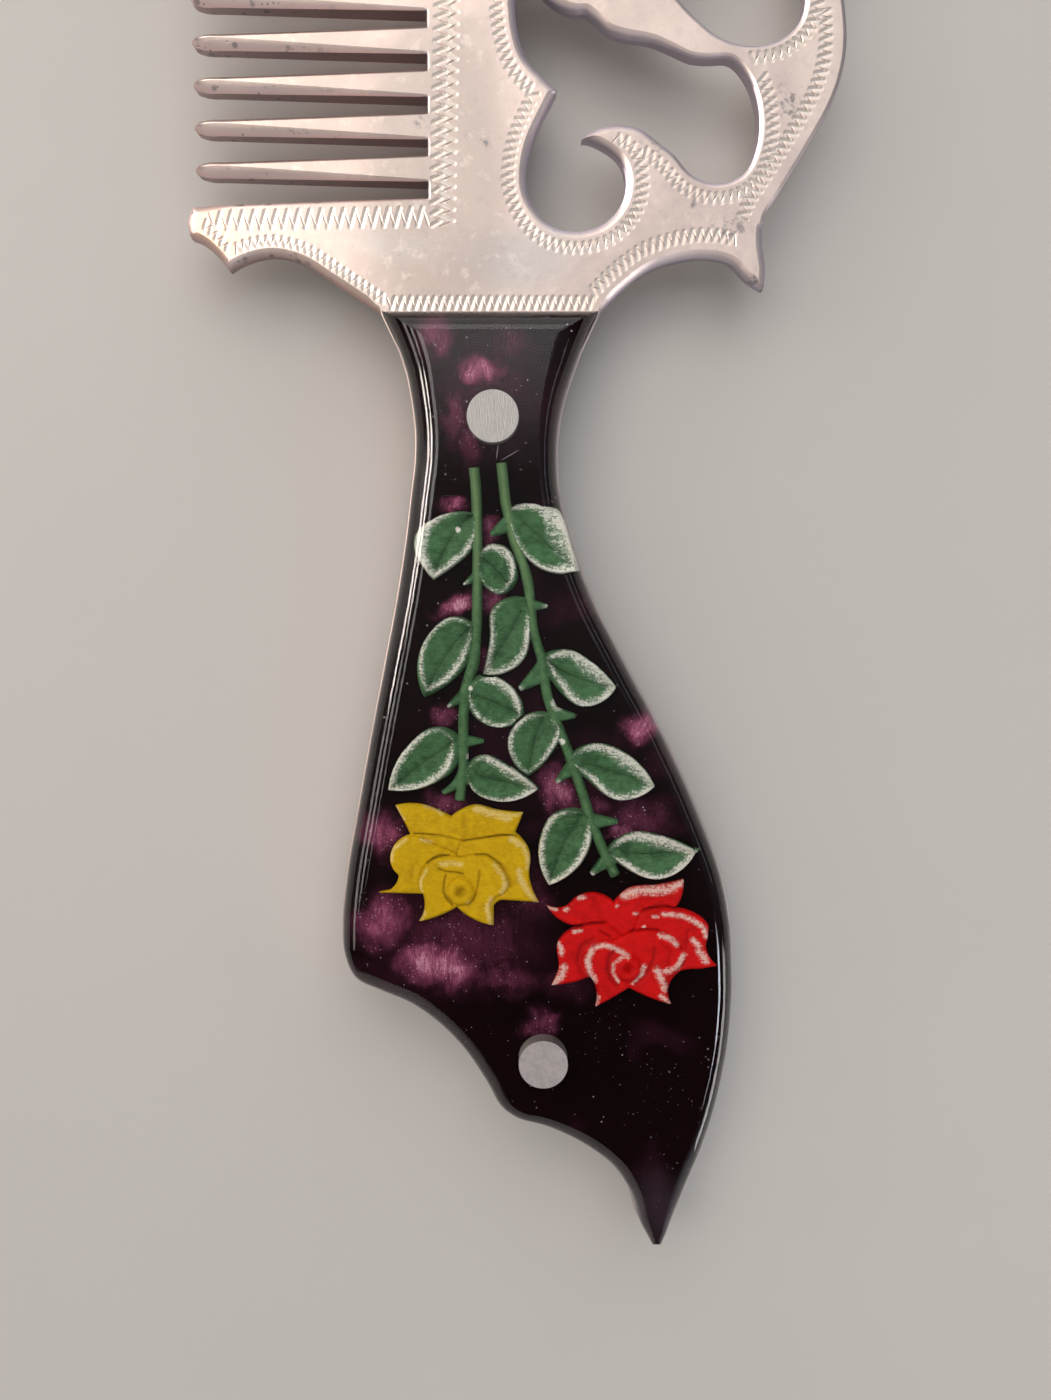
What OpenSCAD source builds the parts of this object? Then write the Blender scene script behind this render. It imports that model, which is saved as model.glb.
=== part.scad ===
// Hand comb: coarse teeth and a pierced scroll ring on one plate, whose tang is the core of the handle.
// A clear scale, carved from beneath and filled with paint, covers the front of the tang, over a pearl sheet.
// Lengths are in millimetres. The outlines are drawn from the middle of the neck line, the head above it.

/* [Plate] */
// Thickness of the plate that makes the teeth, the ring and the tang
plate_t = 3.6; // [3:0.1:4]
// Distance from one tooth to the next
tooth_pitch = 5.0; // [4.9:0.05:5.1]
// Width of a tooth at its root
tooth_root_w = 3.1; // [2.6:0.1:3.3]
// Width of a tooth near its tip
tooth_tip_w = 1.95; // [1.5:0.05:2.4]

/* [Handle] */
// Thickness of the back scale
back_t = 4.65; // [4:0.05:6]
// Thickness of the pearl sheet under the clear scale
pearl_t = 0.95; // [0.8:0.05:1.2]
// Thickness of the clear scale
clear_t = 3.65; // [3.4:0.05:5]
// How far the scales stay inside the outline of the tang
scale_inset = 0.25; // [0.15:0.05:0.4]

/* [Rivets] */
// Diameter of the rivet rod, a quarter of an inch
rivet_d = 6.35; // [6:0.05:6.5]
// Clearance between a rivet and its bore, on the radius
bore_gap = 0.05; // [0.03:0.01:0.1]

/* [Carving] */
// Depth of the carving in the underside of the clear scale
pocket_t = 2.0; // [1.6:0.1:2.2]
// Clearance between a painted filling and the walls of its pocket
fill_gap = 0.1; // [0.05:0.01:0.15]
// Width of a leaf stem
stem_w = 1.3; // [1:0.1:1.6]

/* [Hidden] */
$fn = 64;

layer_gap = 0.05;
plate_z = back_t + layer_gap;
pearl_z = plate_z + plate_t + layer_gap;
clear_z = pearl_z + pearl_t + layer_gap;
top_z = clear_z + clear_t;
past = 1;

aluminium = [0.80, 0.79, 0.79];
pearl_purple = [0.25, 0.10, 0.22];
leaf_green = [0.25, 0.45, 0.30];
rose_yellow = [0.90, 0.75, 0.05];
rose_red = [0.85, 0.12, 0.08];

// The head is the same above and below this height, the middle of the middle tooth.
head_axis = 42.1;
// Teeth below the middle one, and as many above it
half_teeth = 5;
tooth_root_x = -12;
tooth_tip_x = -40.8;

// The tang from the neck to the heel, one section a row.
// Columns: left edge x and y, right edge x and y, width of the scale's bevel at the left and at the right.
TANG = [
    [-18.2,    0.0,  9.4,    0.0, 3.3, 3.3],
    [-15.9,   -4.8,  7.1,   -4.8, 3.3, 3.3],
    [-15.0,   -7.5,  6.1,   -7.5, 3.2, 3.0],
    [-14.3,  -11.2,  4.9,  -11.2, 3.0, 2.6],
    [-13.9,  -15.3,  4.2,  -15.3, 3.0, 2.3],
    [-14.0,  -18.6,  4.1,  -18.6, 3.0, 2.2],
    [-14.4,  -21.7,  4.3,  -21.7, 3.0, 2.2],
    [-15.2,  -28.0,  5.8,  -28.0, 2.9, 2.2],
    [-16.4,  -35.3,  8.5,  -35.3, 2.9, 2.2],
    [-17.8,  -42.4, 12.1,  -42.4, 2.9, 2.2],
    [-19.9,  -52.8, 17.7,  -52.8, 2.9, 2.2],
    [-21.8,  -62.8, 22.3,  -62.8, 2.9, 2.2],
    [-23.4,  -71.7, 25.6,  -71.7, 2.9, 2.2],
    [-24.0,  -78.0, 26.8,  -78.0, 2.9, 2.2],
    [-23.8,  -81.8, 27.1,  -83.0, 2.7, 2.2],
    [-22.4,  -84.9, 27.2,  -86.0, 2.4, 2.2],
    [-19.0,  -86.7, 27.1,  -89.5, 2.4, 2.2],
    [-15.3,  -88.3, 26.8,  -93.5, 2.4, 2.2],
    [-11.9,  -90.7, 26.2,  -97.5, 2.3, 2.2],
    [ -8.2,  -94.6, 25.4, -101.5, 2.2, 2.2],
    [ -5.3,  -99.1, 24.3, -105.5, 2.1, 2.2],
    [ -3.4, -102.4, 23.2, -108.8, 1.9, 2.2],
    [ -1.3, -103.9, 22.4, -110.8, 1.9, 2.2],
    [  2.3, -105.0, 21.6, -112.8, 2.1, 2.1],
    [  7.6, -107.6, 20.9, -114.6, 2.2, 1.9],
    [ 11.4, -110.6, 20.2, -116.3, 2.0, 1.6],
    [ 13.7, -114.3, 19.6, -117.9, 1.6, 1.4],
    [ 14.9, -118.2, 19.0, -119.5, 1.3, 1.2],
    [ 16.4, -121.0, 18.2, -121.0, 0.9, 0.9]
];

// The scale's rounded edge, from its base to its flat face.
// Columns: share of the bevel's width, share of the scale's thickness.
EDGE = [[0, 0], [0.05, 0.30], [0.14, 0.52], [0.32, 0.74], [0.60, 0.91], [1, 1]];

// Outlines of the head. Columns: x, y, and 1 at a sharp corner.
// The ring's outer edge from the axis down to the spur and back in to the neck.
RING_EDGE = [
    [37.2, 42.1, 1], [38.3, 38.5, 0], [38.9, 35.1, 0], [39.1, 31.6, 0], [38.6, 28.0, 0], [37.4, 24.6, 0],
    [35.2, 20.6, 0], [31.1, 13.8, 0], [29.6, 11.4, 0], [29.3, 9.0, 0], [29.8, 4.6, 0], [29.6, 2.7, 1],
    [27.6, 3.9, 0], [25.5, 5.9, 0], [21.8, 6.6, 0], [18.7, 6.2, 0], [15.6, 5.2, 0], [12.6, 3.1, 0],
    [9.4, 0.0, 1]
];
// The guard's lower edge from the neck to its end.
GUARD_EDGE = [
    [-18.2, 0.0, 1], [-20.6, 1.5, 0], [-24.3, 3.9, 0], [-28.0, 6.1, 0], [-31.5, 6.8, 0], [-34.5, 6.2, 0],
    [-36.9, 5.0, 1], [-38.6, 7.1, 0], [-40.2, 8.4, 0], [-41.5, 8.9, 1], [-41.7, 11.0, 0], [-41.1, 12.6, 1],
    [-37.0, 12.8, 1], [tooth_root_x, 13.65, 1]
];
// The top of the head over the unseen end, from its left shoulder to its right one.
CROWN = [[-18.2, 84.2, 0], [-12.5, 85.2, 0], [-4.4, 85.6, 0], [3.7, 85.2, 0], [9.4, 84.2, 0]];
// The lower scroll opening: down the spine, round the eye, over the hook, up the ring, back along the limb.
SCROLL = [
    [-0.3, 39.2, 0], [-1.2, 37.5, 0], [-1.2, 34.6, 0], [-0.8, 32.3, 0], [0.2, 29.9, 0], [2.1, 27.9, 0],
    [3.8, 26.4, 1], [2.9, 24.7, 0], [1.8, 22.6, 0], [0.8, 20.4, 0], [0.1, 17.4, 0], [0.1, 14.9, 0],
    [1.1, 12.5, 0], [3.2, 10.4, 0], [6.2, 9.7, 0], [9.3, 10.4, 0], [11.6, 12.5, 0], [12.4, 15.5, 0],
    [11.6, 18.1, 0], [9.6, 19.7, 0], [6.9, 20.7, 1], [9.0, 21.9, 0], [11.4, 22.3, 0], [14.1, 21.8, 0],
    [16.2, 20.3, 0], [18.3, 18.7, 0], [20.3, 16.5, 0], [22.6, 15.4, 0], [25.0, 15.5, 0], [27.1, 16.7, 0],
    [28.3, 19.2, 0], [28.7, 22.8, 0], [28.2, 25.6, 0], [26.8, 28.5, 0], [25.2, 30.0, 0], [22.3, 30.1, 0],
    [20.3, 30.3, 0], [18.3, 31.1, 0], [15.6, 32.1, 0], [12.2, 32.6, 0], [10.0, 33.3, 0], [8.7, 34.5, 0],
    [7.2, 35.5, 1], [5.0, 35.7, 0], [3.2, 36.7, 0], [1.2, 38.5, 0]
];
// Half of the middle opening, from its left end on the axis to its right end.
BEAN = [
    [16.2, 42.1, 0], [16.7, 39.4, 0], [18.5, 36.9, 0], [20.9, 34.5, 0], [24.0, 32.3, 0], [27.5, 31.5, 0],
    [31.0, 32.2, 0], [33.3, 34.2, 0], [34.0, 37.0, 0], [33.5, 39.8, 0], [31.8, 42.1, 1]
];

// Where the rivets go through the handle.
rivet_upper_at = [-4.0, -13.3];
rivet_lower_at = [2.3, -95.5];

// The roses' outlines. Columns: x, y, and 1 at a sharp corner.
YELLOW_ROSE = [
    [-16.6, -61.9, 1], [-13.0, -61.8, 0], [-10.9, -62.6, 0], [-9.5, -63.3, 1], [-8.2, -62.4, 0],
    [-6.3, -61.8, 0], [-3.9, -62.4, 0], [-0.3, -62.8, 1], [-1.3, -65.4, 1], [0.5, -67.8, 0], [0.5, -71.3, 0],
    [1.7, -74.5, 1], [-2.8, -74.2, 1], [-4.1, -75.0, 1], [-4.1, -77.5, 1], [-7.2, -76.4, 0], [-8.8, -75.1, 1],
    [-11.0, -76.2, 0], [-13.7, -77.0, 1], [-13.0, -75.0, 0], [-13.2, -73.4, 1], [-18.8, -73.2, 1],
    [-16.3, -70.9, 0], [-17.2, -69.6, 0], [-17.0, -67.4, 0], [-14.7, -65.7, 1], [-15.4, -64.2, 0]
];
RED_ROSE = [
    [2.8, -75.0, 1], [5.2, -75.1, 0], [6.4, -74.0, 0], [8.2, -73.3, 0], [11.4, -74.5, 1], [13.6, -72.6, 0],
    [16.6, -72.3, 0], [20.3, -71.5, 1], [20.2, -73.4, 0], [19.3, -75.3, 1], [21.6, -75.9, 0],
    [23.6, -77.6, 0], [23.3, -80.5, 0], [24.7, -82.9, 1], [22.5, -83.3, 0], [20.1, -83.6, 0],
    [18.7, -85.2, 0], [18.9, -88.0, 1], [16.6, -87.3, 0], [13.4, -85.8, 1], [11.5, -87.0, 0],
    [9.1, -88.3, 1], [9.2, -86.2, 0], [8.4, -84.4, 1], [6.2, -85.1, 0], [3.4, -85.5, 1],
    [4.3, -83.3, 0], [4.2, -79.8, 0], [5.5, -78.3, 0], [7.3, -77.6, 1], [5.0, -77.2, 0]
];

// Leaves. Columns: base, left edge twice, tip, right edge twice, each an x and a y.
LEFT_LEAVES = [
    [-6.2, -25.0,  -8.9, -24.8, -12.3, -26.4, -11.5, -33.2,  -9.2, -31.7,  -6.5, -29.2],
    [-5.9, -30.4,  -4.8, -28.9,  -2.3, -29.2,  -1.6, -34.3,  -3.2, -35.1,  -5.3, -33.8],
    [-6.2, -38.8,  -8.9, -37.8, -12.8, -41.0, -12.8, -48.0,  -9.6, -46.2,  -6.7, -42.8],
    [-7.7, -47.4,  -6.0, -45.2,  -2.2, -46.2,  -0.1, -50.5,  -3.2, -51.9,  -6.6, -50.4],
    [-8.2, -53.0, -11.0, -51.8, -15.3, -54.6, -17.5, -59.9, -12.2, -59.3,  -8.5, -56.4],
    [-7.8, -57.2,  -5.8, -55.4,  -2.0, -56.8,   1.7, -59.7,  -3.2, -61.4,  -6.8, -59.9]
];
RIGHT_LEAVES = [
    [-2.3, -24.4,   1.8, -24.0,   4.8, -27.0,   6.0, -32.4,   1.8, -31.8,  -1.2, -28.8],
    [ 0.2, -35.4,   0.7, -39.6,  -0.3, -43.4,  -5.4, -45.1,  -4.5, -40.6,  -4.2, -36.8],
    [ 1.9, -42.8,   5.6, -42.0,   8.3, -43.5,  11.5, -46.7,   7.2, -49.2,   3.9, -46.8],
    [ 3.2, -50.0,   0.0, -50.3,  -2.2, -53.2,   0.4, -58.1,   3.4, -55.1,   4.7, -51.6],
    [ 5.0, -56.0,   8.6, -53.9,  12.7, -55.1,  16.5, -59.4,  11.8, -61.2,   7.6, -58.4],
    [ 8.0, -62.7,   3.6, -63.0,   1.8, -66.4,   3.0, -72.3,   7.4, -69.1,   8.6, -65.8],
    [10.2, -67.8,  13.6, -65.4,  17.2, -65.8,  21.9, -67.8,  17.2, -71.5,  12.4, -69.8]
];
// Pointed stubs where leaves were cut. Columns: root x and y, tip x and y, width at the root.
LEFT_STUBS = [
    [-5.6, -32.4,  -7.9, -33.9, 1.6], [-7.2, -47.4, -10.0, -49.3, 2.0], [-8.0, -53.6,  -5.1, -53.6, 1.9],
    [-7.6, -58.0, -10.7, -60.4, 2.6]
];
RIGHT_STUBS = [
    [-1.6, -26.0,  -4.5, -27.7, 2.6], [ 0.2, -36.4,   2.9, -36.5, 2.0], [ 2.2, -44.8,  -0.9, -47.1, 2.8],
    [ 3.2, -50.2,   6.5, -50.4, 2.4], [ 6.2, -56.8,   3.8, -59.0, 2.2], [ 8.0, -64.0,  12.0, -64.0, 2.4],
    [11.2, -68.4,   8.3, -71.0, 2.4]
];
// Stems, from the cut end down. Columns: x, y.
LEFT_STEM = [
    [-6.4, -19.4], [-6.1, -23.4], [-6.0, -30.0], [-6.1, -38.2], [-6.4, -43.0], [-7.7, -47.2], [-7.9, -52.0],
    [-7.9, -56.8], [-8.4, -61.2]
];
RIGHT_STEM = [
    [-3.0, -18.8], [-2.5, -23.4], [-1.5, -28.0], [-0.2, -31.6], [0.5, -34.8], [0.9, -39.2], [2.0, -42.8],
    [2.6, -47.0], [3.9, -51.1], [5.6, -55.5], [7.3, -60.4], [8.3, -63.8], [10.0, -67.8], [11.5, -71.0]
];

// A smooth curve passes through each knot. Its direction there leans to the shorter of the two spans.
function flat(p) = [p[0], p[1]];
function unit(v) = v / norm(v);
function knot(k, i) = flat(k[(i + len(k)) % len(k)]);
function lean(a, b, c) = unit((c - b) * norm(b - a) / norm(c - b) + (b - a) * norm(c - b) / norm(b - a));
function mirrored(v, chord) = 2 * (v * chord) * chord - v;
function is_sharp(k, i) = k[(i + len(k)) % len(k)][2] == 1;
function through(k, i) = lean(knot(k, i - 1), knot(k, i), knot(k, i + 1));
// The direction in which the span from knot i leaves, and the one in which it arrives
function leaving(k, i) = let (chord = unit(knot(k, i + 1) - knot(k, i)))
    !is_sharp(k, i) ? through(k, i) : is_sharp(k, i + 1) ? chord : mirrored(through(k, i + 1), chord);
function arriving(k, i) = let (chord = unit(knot(k, i + 1) - knot(k, i)))
    !is_sharp(k, i + 1) ? through(k, i + 1) : is_sharp(k, i) ? chord : mirrored(through(k, i), chord);
function blend(a, b, u, v, t) =
    a * (2*t*t*t - 3*t*t + 1) + u * (t*t*t - 2*t*t + t) + b * (3*t*t - 2*t*t*t) + v * (t*t*t - t*t);
// Points of one span without its last one, about one for each length of step
function span(k, i, step) = let (a = knot(k, i), b = knot(k, i + 1), d = norm(b - a),
        straight = is_sharp(k, i) && is_sharp(k, i + 1), n = straight ? 1 : ceil(d / step))
    [for (s = [0 : n - 1]) blend(a, b, leaving(k, i) * d, arriving(k, i) * d, s / n)];
function closed_curve(k, step) = [for (i = [0 : len(k) - 1]) each span(k, i, step)];
// An open curve starts and ends at a sharp knot, so the wrap behind its ends does no harm.
function open_curve(k, step) = [for (i = [0 : len(k) - 2]) each span(k, i, step), knot(k, len(k) - 1)];
function mirror_y(pts, y) = [for (i = [len(pts) - 1 : -1 : 0]) [pts[i][0], 2*y - pts[i][1]]];
function rest(pts) = [for (i = [1 : len(pts) - 1]) pts[i]];
function column(pts, i) = [for (p = pts) p[i]];

// One side of the tang, as points with the bevel's width. The first span is straight.
tang_steps = 3; // Points that each other span takes
function tang_knots(cx, cb) = [for (r = TANG) [r[cx], r[cx + 1], 0, r[cb]]];
function tang_at(k, i, t) = let (a = knot(k, i), b = knot(k, i + 1), d = norm(b - a), last = len(k) - 2,
        u = i == 0 ? unit(b - a) : through(k, i), v = i == last ? unit(b - a) : through(k, i + 1),
        p = blend(a, b, u * d, v * d, t))
    [p[0], p[1], k[i][3] * (1 - t) + k[i + 1][3] * t];
function tang_side(k) = [for (i = [0 : len(k) - 2], s = [0 : (i == 0 ? 0 : tang_steps - 1)])
    tang_at(k, i, i == 0 ? 0 : s / tang_steps), tang_at(k, len(k) - 2, 1)];
tang_left = tang_side(tang_knots(0, 4));
tang_right = tang_side(tang_knots(2, 5));
tang_n = len(tang_left);
// Once round the tang: down the left side and up the right one
tang = concat(tang_left, [for (i = [tang_n - 1 : -1 : 0]) tang_right[i]]);

// The tang's outline moved in by a share of the bevel's width and a fixed distance
function left_of(v) = [-v[1], v[0]];
function moved_in(loop, i, share, fixed) = let (n = len(loop), p = flat(loop[i]),
        u = unit(p - flat(loop[(i + n - 1) % n])), v = unit(flat(loop[(i + 1) % n]) - p),
        side = left_of(u) + left_of(v))
    p + side / (1 + u * v) * (fixed + share * loop[i][2]);
function ring_of(share, fixed) = [for (i = [0 : len(tang) - 1]) moved_in(tang, i, share, fixed)];

// A scale's solid: rings of the moved outline, from the base at z = 0 up to the flat face.
// Its two flat faces are strips that join the points of the left side to those of the right one.
module scale_solid(thickness) {
    rings = [for (e = EDGE) [for (p = ring_of(e[0], scale_inset)) [p[0], p[1], e[1] * thickness]]];
    n = len(tang);
    top = (len(EDGE) - 1) * n;
    walls = [for (r = [0 : len(EDGE) - 2], i = [0 : n - 1]) let (a = r*n + i, b = r*n + (i + 1) % n)
        each [[a, a + n, b + n], [a, b + n, b]]];
    base_face = [for (i = [0 : tang_n - 2]) each [[i, i + 1, n - 2 - i], [i, n - 2 - i, n - 1 - i]]];
    flat_face = [for (f = base_face) [top + f[0], top + f[2], top + f[1]]];
    polyhedron(points = [for (r = rings) each r], faces = concat(walls, base_face, flat_face));
}

module rivet_bores() {
    for (at = [rivet_upper_at, rivet_lower_at])
        translate([at[0], at[1], -past]) cylinder(d = rivet_d + 2*bore_gap, h = top_z + 2*past);
}

// The teeth from the guard up to the axis, as one edge from the first slot's root
function tooth_edge(c) = let (r = tooth_root_w / 2, t = tooth_tip_w / 2) [
    [tooth_root_x, c - r], [tooth_tip_x + 3.8, c - t], [tooth_tip_x + 1.1, c - 0.82*t],
    [tooth_tip_x + 0.2, c - 0.42*t], [tooth_tip_x, c],
    [tooth_tip_x + 0.2, c + 0.42*t], [tooth_tip_x + 1.1, c + 0.82*t], [tooth_tip_x + 3.8, c + t],
    [tooth_root_x, c + r]
];
comb_edge = [for (i = [-half_teeth : half_teeth]) each tooth_edge(head_axis + i * tooth_pitch)];

curve_step = 1.4;
ring_half = open_curve(RING_EDGE, curve_step);
guard_half = open_curve(GUARD_EDGE, curve_step);
crown = [for (i = [0 : len(CROWN) - 1]) flat(CROWN[i])];
heel_up = [for (i = [tang_n - 1 : -1 : 1]) flat(tang_left[i])];
heel_down = [for (i = [1 : tang_n - 1]) flat(tang_right[i])];
plate_outer = concat(ring_half, heel_down, heel_up, guard_half, comb_edge,
    mirror_y(guard_half, head_axis), rest(crown), rest(mirror_y(ring_half, head_axis)));
scroll_lower = closed_curve(SCROLL, curve_step);
scroll_upper = mirror_y(scroll_lower, head_axis);
// The bean's end on the axis is smooth, so its first direction is straight down.
bean_half = open_curve(concat([[16.7, 44.8, 0]], BEAN), curve_step);
bean_from = [for (i = [0 : len(bean_half) - 1]) if (bean_half[i][1] <= head_axis + 0.001) bean_half[i]];
bean = concat(bean_from, [for (p = rest(mirror_y(bean_from, head_axis))) if (p[1] > head_axis + 0.001) p]);

// The drawing moved so that the middle of the comb's bounding box lies on the z axis
middle_x = (min(column(plate_outer, 0)) + max(column(plate_outer, 0))) / 2;
middle_y = (min(column(plate_outer, 1)) + max(column(plate_outer, 1))) / 2;
module placed(z) translate([-middle_x, -middle_y, z]) children();

function indices(from, n) = [for (i = [0 : n - 1]) from + i];

module comb_plate() {
    loops = [plate_outer, scroll_lower, scroll_upper, bean];
    starts = [0, len(loops[0]), len(loops[0]) + len(loops[1]), len(loops[0]) + len(loops[1]) + len(loops[2])];
    color(aluminium) placed(0) difference() {
        translate([0, 0, plate_z]) linear_extrude(plate_t)
            polygon([for (l = loops) each l], [for (i = [0 : 3]) indices(starts[i], len(loops[i]))]);
        rivet_bores();
    }
}

module back_scale() {
    color(pearl_purple) placed(0) difference() {
        translate([0, 0, back_t]) mirror([0, 0, 1]) scale_solid(back_t);
        rivet_bores();
    }
}

module pearl_sheet() {
    color(pearl_purple) placed(0) difference() {
        translate([0, 0, pearl_z]) linear_extrude(pearl_t) polygon(ring_of(0, scale_inset));
        rivet_bores();
    }
}

petal_step = 1.6;
// A leaf has a sharp base and tip and two smooth edges.
module leaf(row) {
    polygon(closed_curve([for (i = [0 : 5]) [row[2*i], row[2*i + 1], i % 3 == 0 ? 1 : 0]], petal_step));
}
// A stub is blunt: a part of its length and of its width is left at the tip.
stub_blunt = 0.06;
stub_tip = 0.25;
module stub(row) {
    root = [row[0], row[1]];
    tip = [row[2], row[3]];
    side = left_of(unit(tip - root)) * row[4] / 2;
    end = tip + (root - tip) * stub_blunt;
    polygon([root + side, end + side * stub_tip, end - side * stub_tip, root - side]);
}
module stem(pts) {
    last = len(pts) - 1;
    sides = [for (i = [0 : last]) left_of(unit(pts[min(i + 1, last)] - pts[max(i - 1, 0)])) * stem_w / 2];
    polygon(concat([for (i = [0 : last]) pts[i] + sides[i]], [for (i = [last : -1 : 0]) pts[i] - sides[i]]));
}
// The burr that carves a spray leaves no notch narrower than itself between a leaf and the stem.
burr = 0.2;
module spray(leaves, stubs, stem_pts) {
    offset(delta = -burr / 2) offset(delta = burr / 2) {
        for (row = leaves) leaf(row);
        for (row = stubs) stub(row);
        stem(stem_pts);
    }
}
// Where the two sprays cross, the right one's stub lies over the left one's stem, so the left one makes way.
module left_artwork() {
    difference() {
        spray(LEFT_LEAVES, LEFT_STUBS, LEFT_STEM);
        offset(delta = 2*fill_gap) spray(RIGHT_LEAVES, RIGHT_STUBS, RIGHT_STEM);
    }
}
module right_artwork() spray(RIGHT_LEAVES, RIGHT_STUBS, RIGHT_STEM);
module rose_artwork(outline) polygon(closed_curve(outline, petal_step));

module pocket() {
    translate([0, 0, clear_z - past]) linear_extrude(pocket_t + past) offset(delta = fill_gap) children();
}
module filling(tint) color(tint) placed(clear_z) linear_extrude(pocket_t - fill_gap) children();

module clear_scale() {
    color("white", 0.35) placed(0) difference() {
        translate([0, 0, clear_z]) scale_solid(clear_t);
        rivet_bores();
        pocket() spray(LEFT_LEAVES, LEFT_STUBS, LEFT_STEM);
        pocket() right_artwork();
        pocket() rose_artwork(YELLOW_ROSE);
        pocket() rose_artwork(RED_ROSE);
    }
}

module left_spray() filling(leaf_green) left_artwork();
module right_spray() filling(leaf_green) right_artwork();
module yellow_rose() filling(rose_yellow) rose_artwork(YELLOW_ROSE);
module red_rose() filling(rose_red) rose_artwork(RED_ROSE);

module rivet(at) { color(aluminium) placed(0) translate(at) cylinder(d = rivet_d, h = top_z); }
module rivet_upper() rivet(rivet_upper_at);
module rivet_lower() rivet(rivet_lower_at);

comb_plate();
back_scale();
pearl_sheet();
clear_scale();
left_spray();
right_spray();
yellow_rose();
red_rose();
rivet_upper();
rivet_lower();
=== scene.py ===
"""Looks of a hand-made aluminium comb with a riveted acrylic handle, on a pale floor under soft light."""
import math

import bmesh
import bpy
import numpy as np
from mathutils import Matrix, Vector
from mathutils.geometry import delaunay_2d_cdt


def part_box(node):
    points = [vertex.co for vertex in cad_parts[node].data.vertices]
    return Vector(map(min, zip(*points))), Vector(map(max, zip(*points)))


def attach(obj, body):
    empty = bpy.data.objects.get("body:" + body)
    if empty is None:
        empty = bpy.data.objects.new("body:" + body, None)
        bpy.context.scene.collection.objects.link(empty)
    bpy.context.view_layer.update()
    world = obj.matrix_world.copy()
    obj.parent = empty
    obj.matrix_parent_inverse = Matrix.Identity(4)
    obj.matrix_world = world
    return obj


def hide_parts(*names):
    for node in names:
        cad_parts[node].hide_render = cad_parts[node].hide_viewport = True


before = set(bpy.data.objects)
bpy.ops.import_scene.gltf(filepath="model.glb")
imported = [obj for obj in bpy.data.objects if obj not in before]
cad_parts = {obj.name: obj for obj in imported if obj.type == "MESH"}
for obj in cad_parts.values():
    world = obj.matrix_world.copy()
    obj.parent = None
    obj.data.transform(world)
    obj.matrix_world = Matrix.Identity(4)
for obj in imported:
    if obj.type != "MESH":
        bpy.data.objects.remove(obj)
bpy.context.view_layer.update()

# The plate: teeth, spine, pierced ring and tang, sawn from one sheet of aluminium. Its edges are filed to a
# bevel, broad on the teeth's undersides, and its face is left matt and a little stained.
# Sizes are in millimetres from the middle of the neck line. in_frame() takes them to the frame's metres.
NECK_AT = np.array([1.315, 17.7])
PLATE_LOW, PLATE_HIGH = (corner.z * 1000 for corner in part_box("comb_plate"))
# The head is the same above and below this height of the drawing
AXIS = 42.1
# The comb: where it starts, the teeth's roots and their length, half the row's width, and the guards' tips
COMB_START = 12.4
TOOTH_ROOTS = -12.5
TOOTH_LENGTH = 27.0
TEETH_HALF = 28.0
GUARD_TIPS = -36.5
# The pierced ring lies within that reach of its middle
RING_MIDDLE = (25.0, AXIS)
RING_REACH = 32.0
BEVEL_WIDTH = 0.85
RING_BEVEL_WIDTH = 0.5
LEAST_BEVEL = 0.10
# Rows of points across the bevel, from the edge to the flat face
BEVEL_SHARES = [0.0, 0.3, 0.65, 1.0]
# How far below the bevel the edge stands upright as sawn, darker there partly with painted shade, and how far
# a bore's rim is broken
UPRIGHT = 0.12
BORE_RIM = 1e-3
# The length of an edge's pieces in the mesh, where the bevel's room is measured, and round a bore
EDGE_STEP = 0.45
ROOM_STEP = 0.16
BORE_STEP = 0.5
# A triangle with less than this as twice its area is a sliver
SLIVER = 1e-4
# Dark stains: middle, half length and half width, turn in degrees, how strong
STAINS = [
    ((32.0, 25.1), (2.2, 3.2), 0, 1.0), ((25.0, 10.0), (3.2, 3.2), 0, 1.0),
    ((15.6, 19.6), (2.6, 1.6), -35, 1.0), ((28.9, 3.4), (1.6, 2.6), 30, 1.0),
    ((-12.4, 22.6), (2.0, 1.3), 0, 1.0), ((-6.8, 20.7), (1.1, 0.8), 0, 0.8),
    ((-5.0, 20.2), (1.4, 0.7), -30, 0.8), ((20.6, 12.6), (1.6, 0.5), 65, 0.8),
]
# Patches where the face's tone differs: middle, half length and half width, turn in degrees, where its soft
# edge starts and ends, how strong, and the tint. The bright warm one at the guard's end is a painted
# highlight
TONE_PATCHES_AND_HIGHLIGHT = [
    ((-2.0, 6.4), (13.0, 6.0), 0, (0.1, 0.7), 0.6, (0.44, 0.43, 0.43)),
    ((-16.0, 8.0), (9.0, 3.0), -6, (0.1, 0.8), 0.7, (0.55, 0.55, 0.545)),
    ((-10.5, 3.8), (8.0, 3.2), 0, (0.1, 0.8), 0.5, (0.54, 0.405, 0.345)),
    # A painted warm highlight over the guard's end
    ((-39.0, 9.0), (6.0, 5.0), 0, (0.1, 0.7), 0.85, (0.78, 0.50, 0.37)),
    ((35.5, 30.0), (5.0, 16.0), 0, (0.1, 0.8), 0.5, (0.72, 0.60, 0.52)),
    ((-11.0, 16.0), (12.0, 26.0), 0, (0.0, 0.5), 0.75, (0.37, 0.32, 0.295)),
]


def in_frame(points, heights):
    """Points of the drawing at those heights, in the frame's metres."""
    flat = (np.asarray(points) + NECK_AT) / 1000
    return np.column_stack([flat, np.broadcast_to(heights, len(flat)) / 1000])


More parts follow.
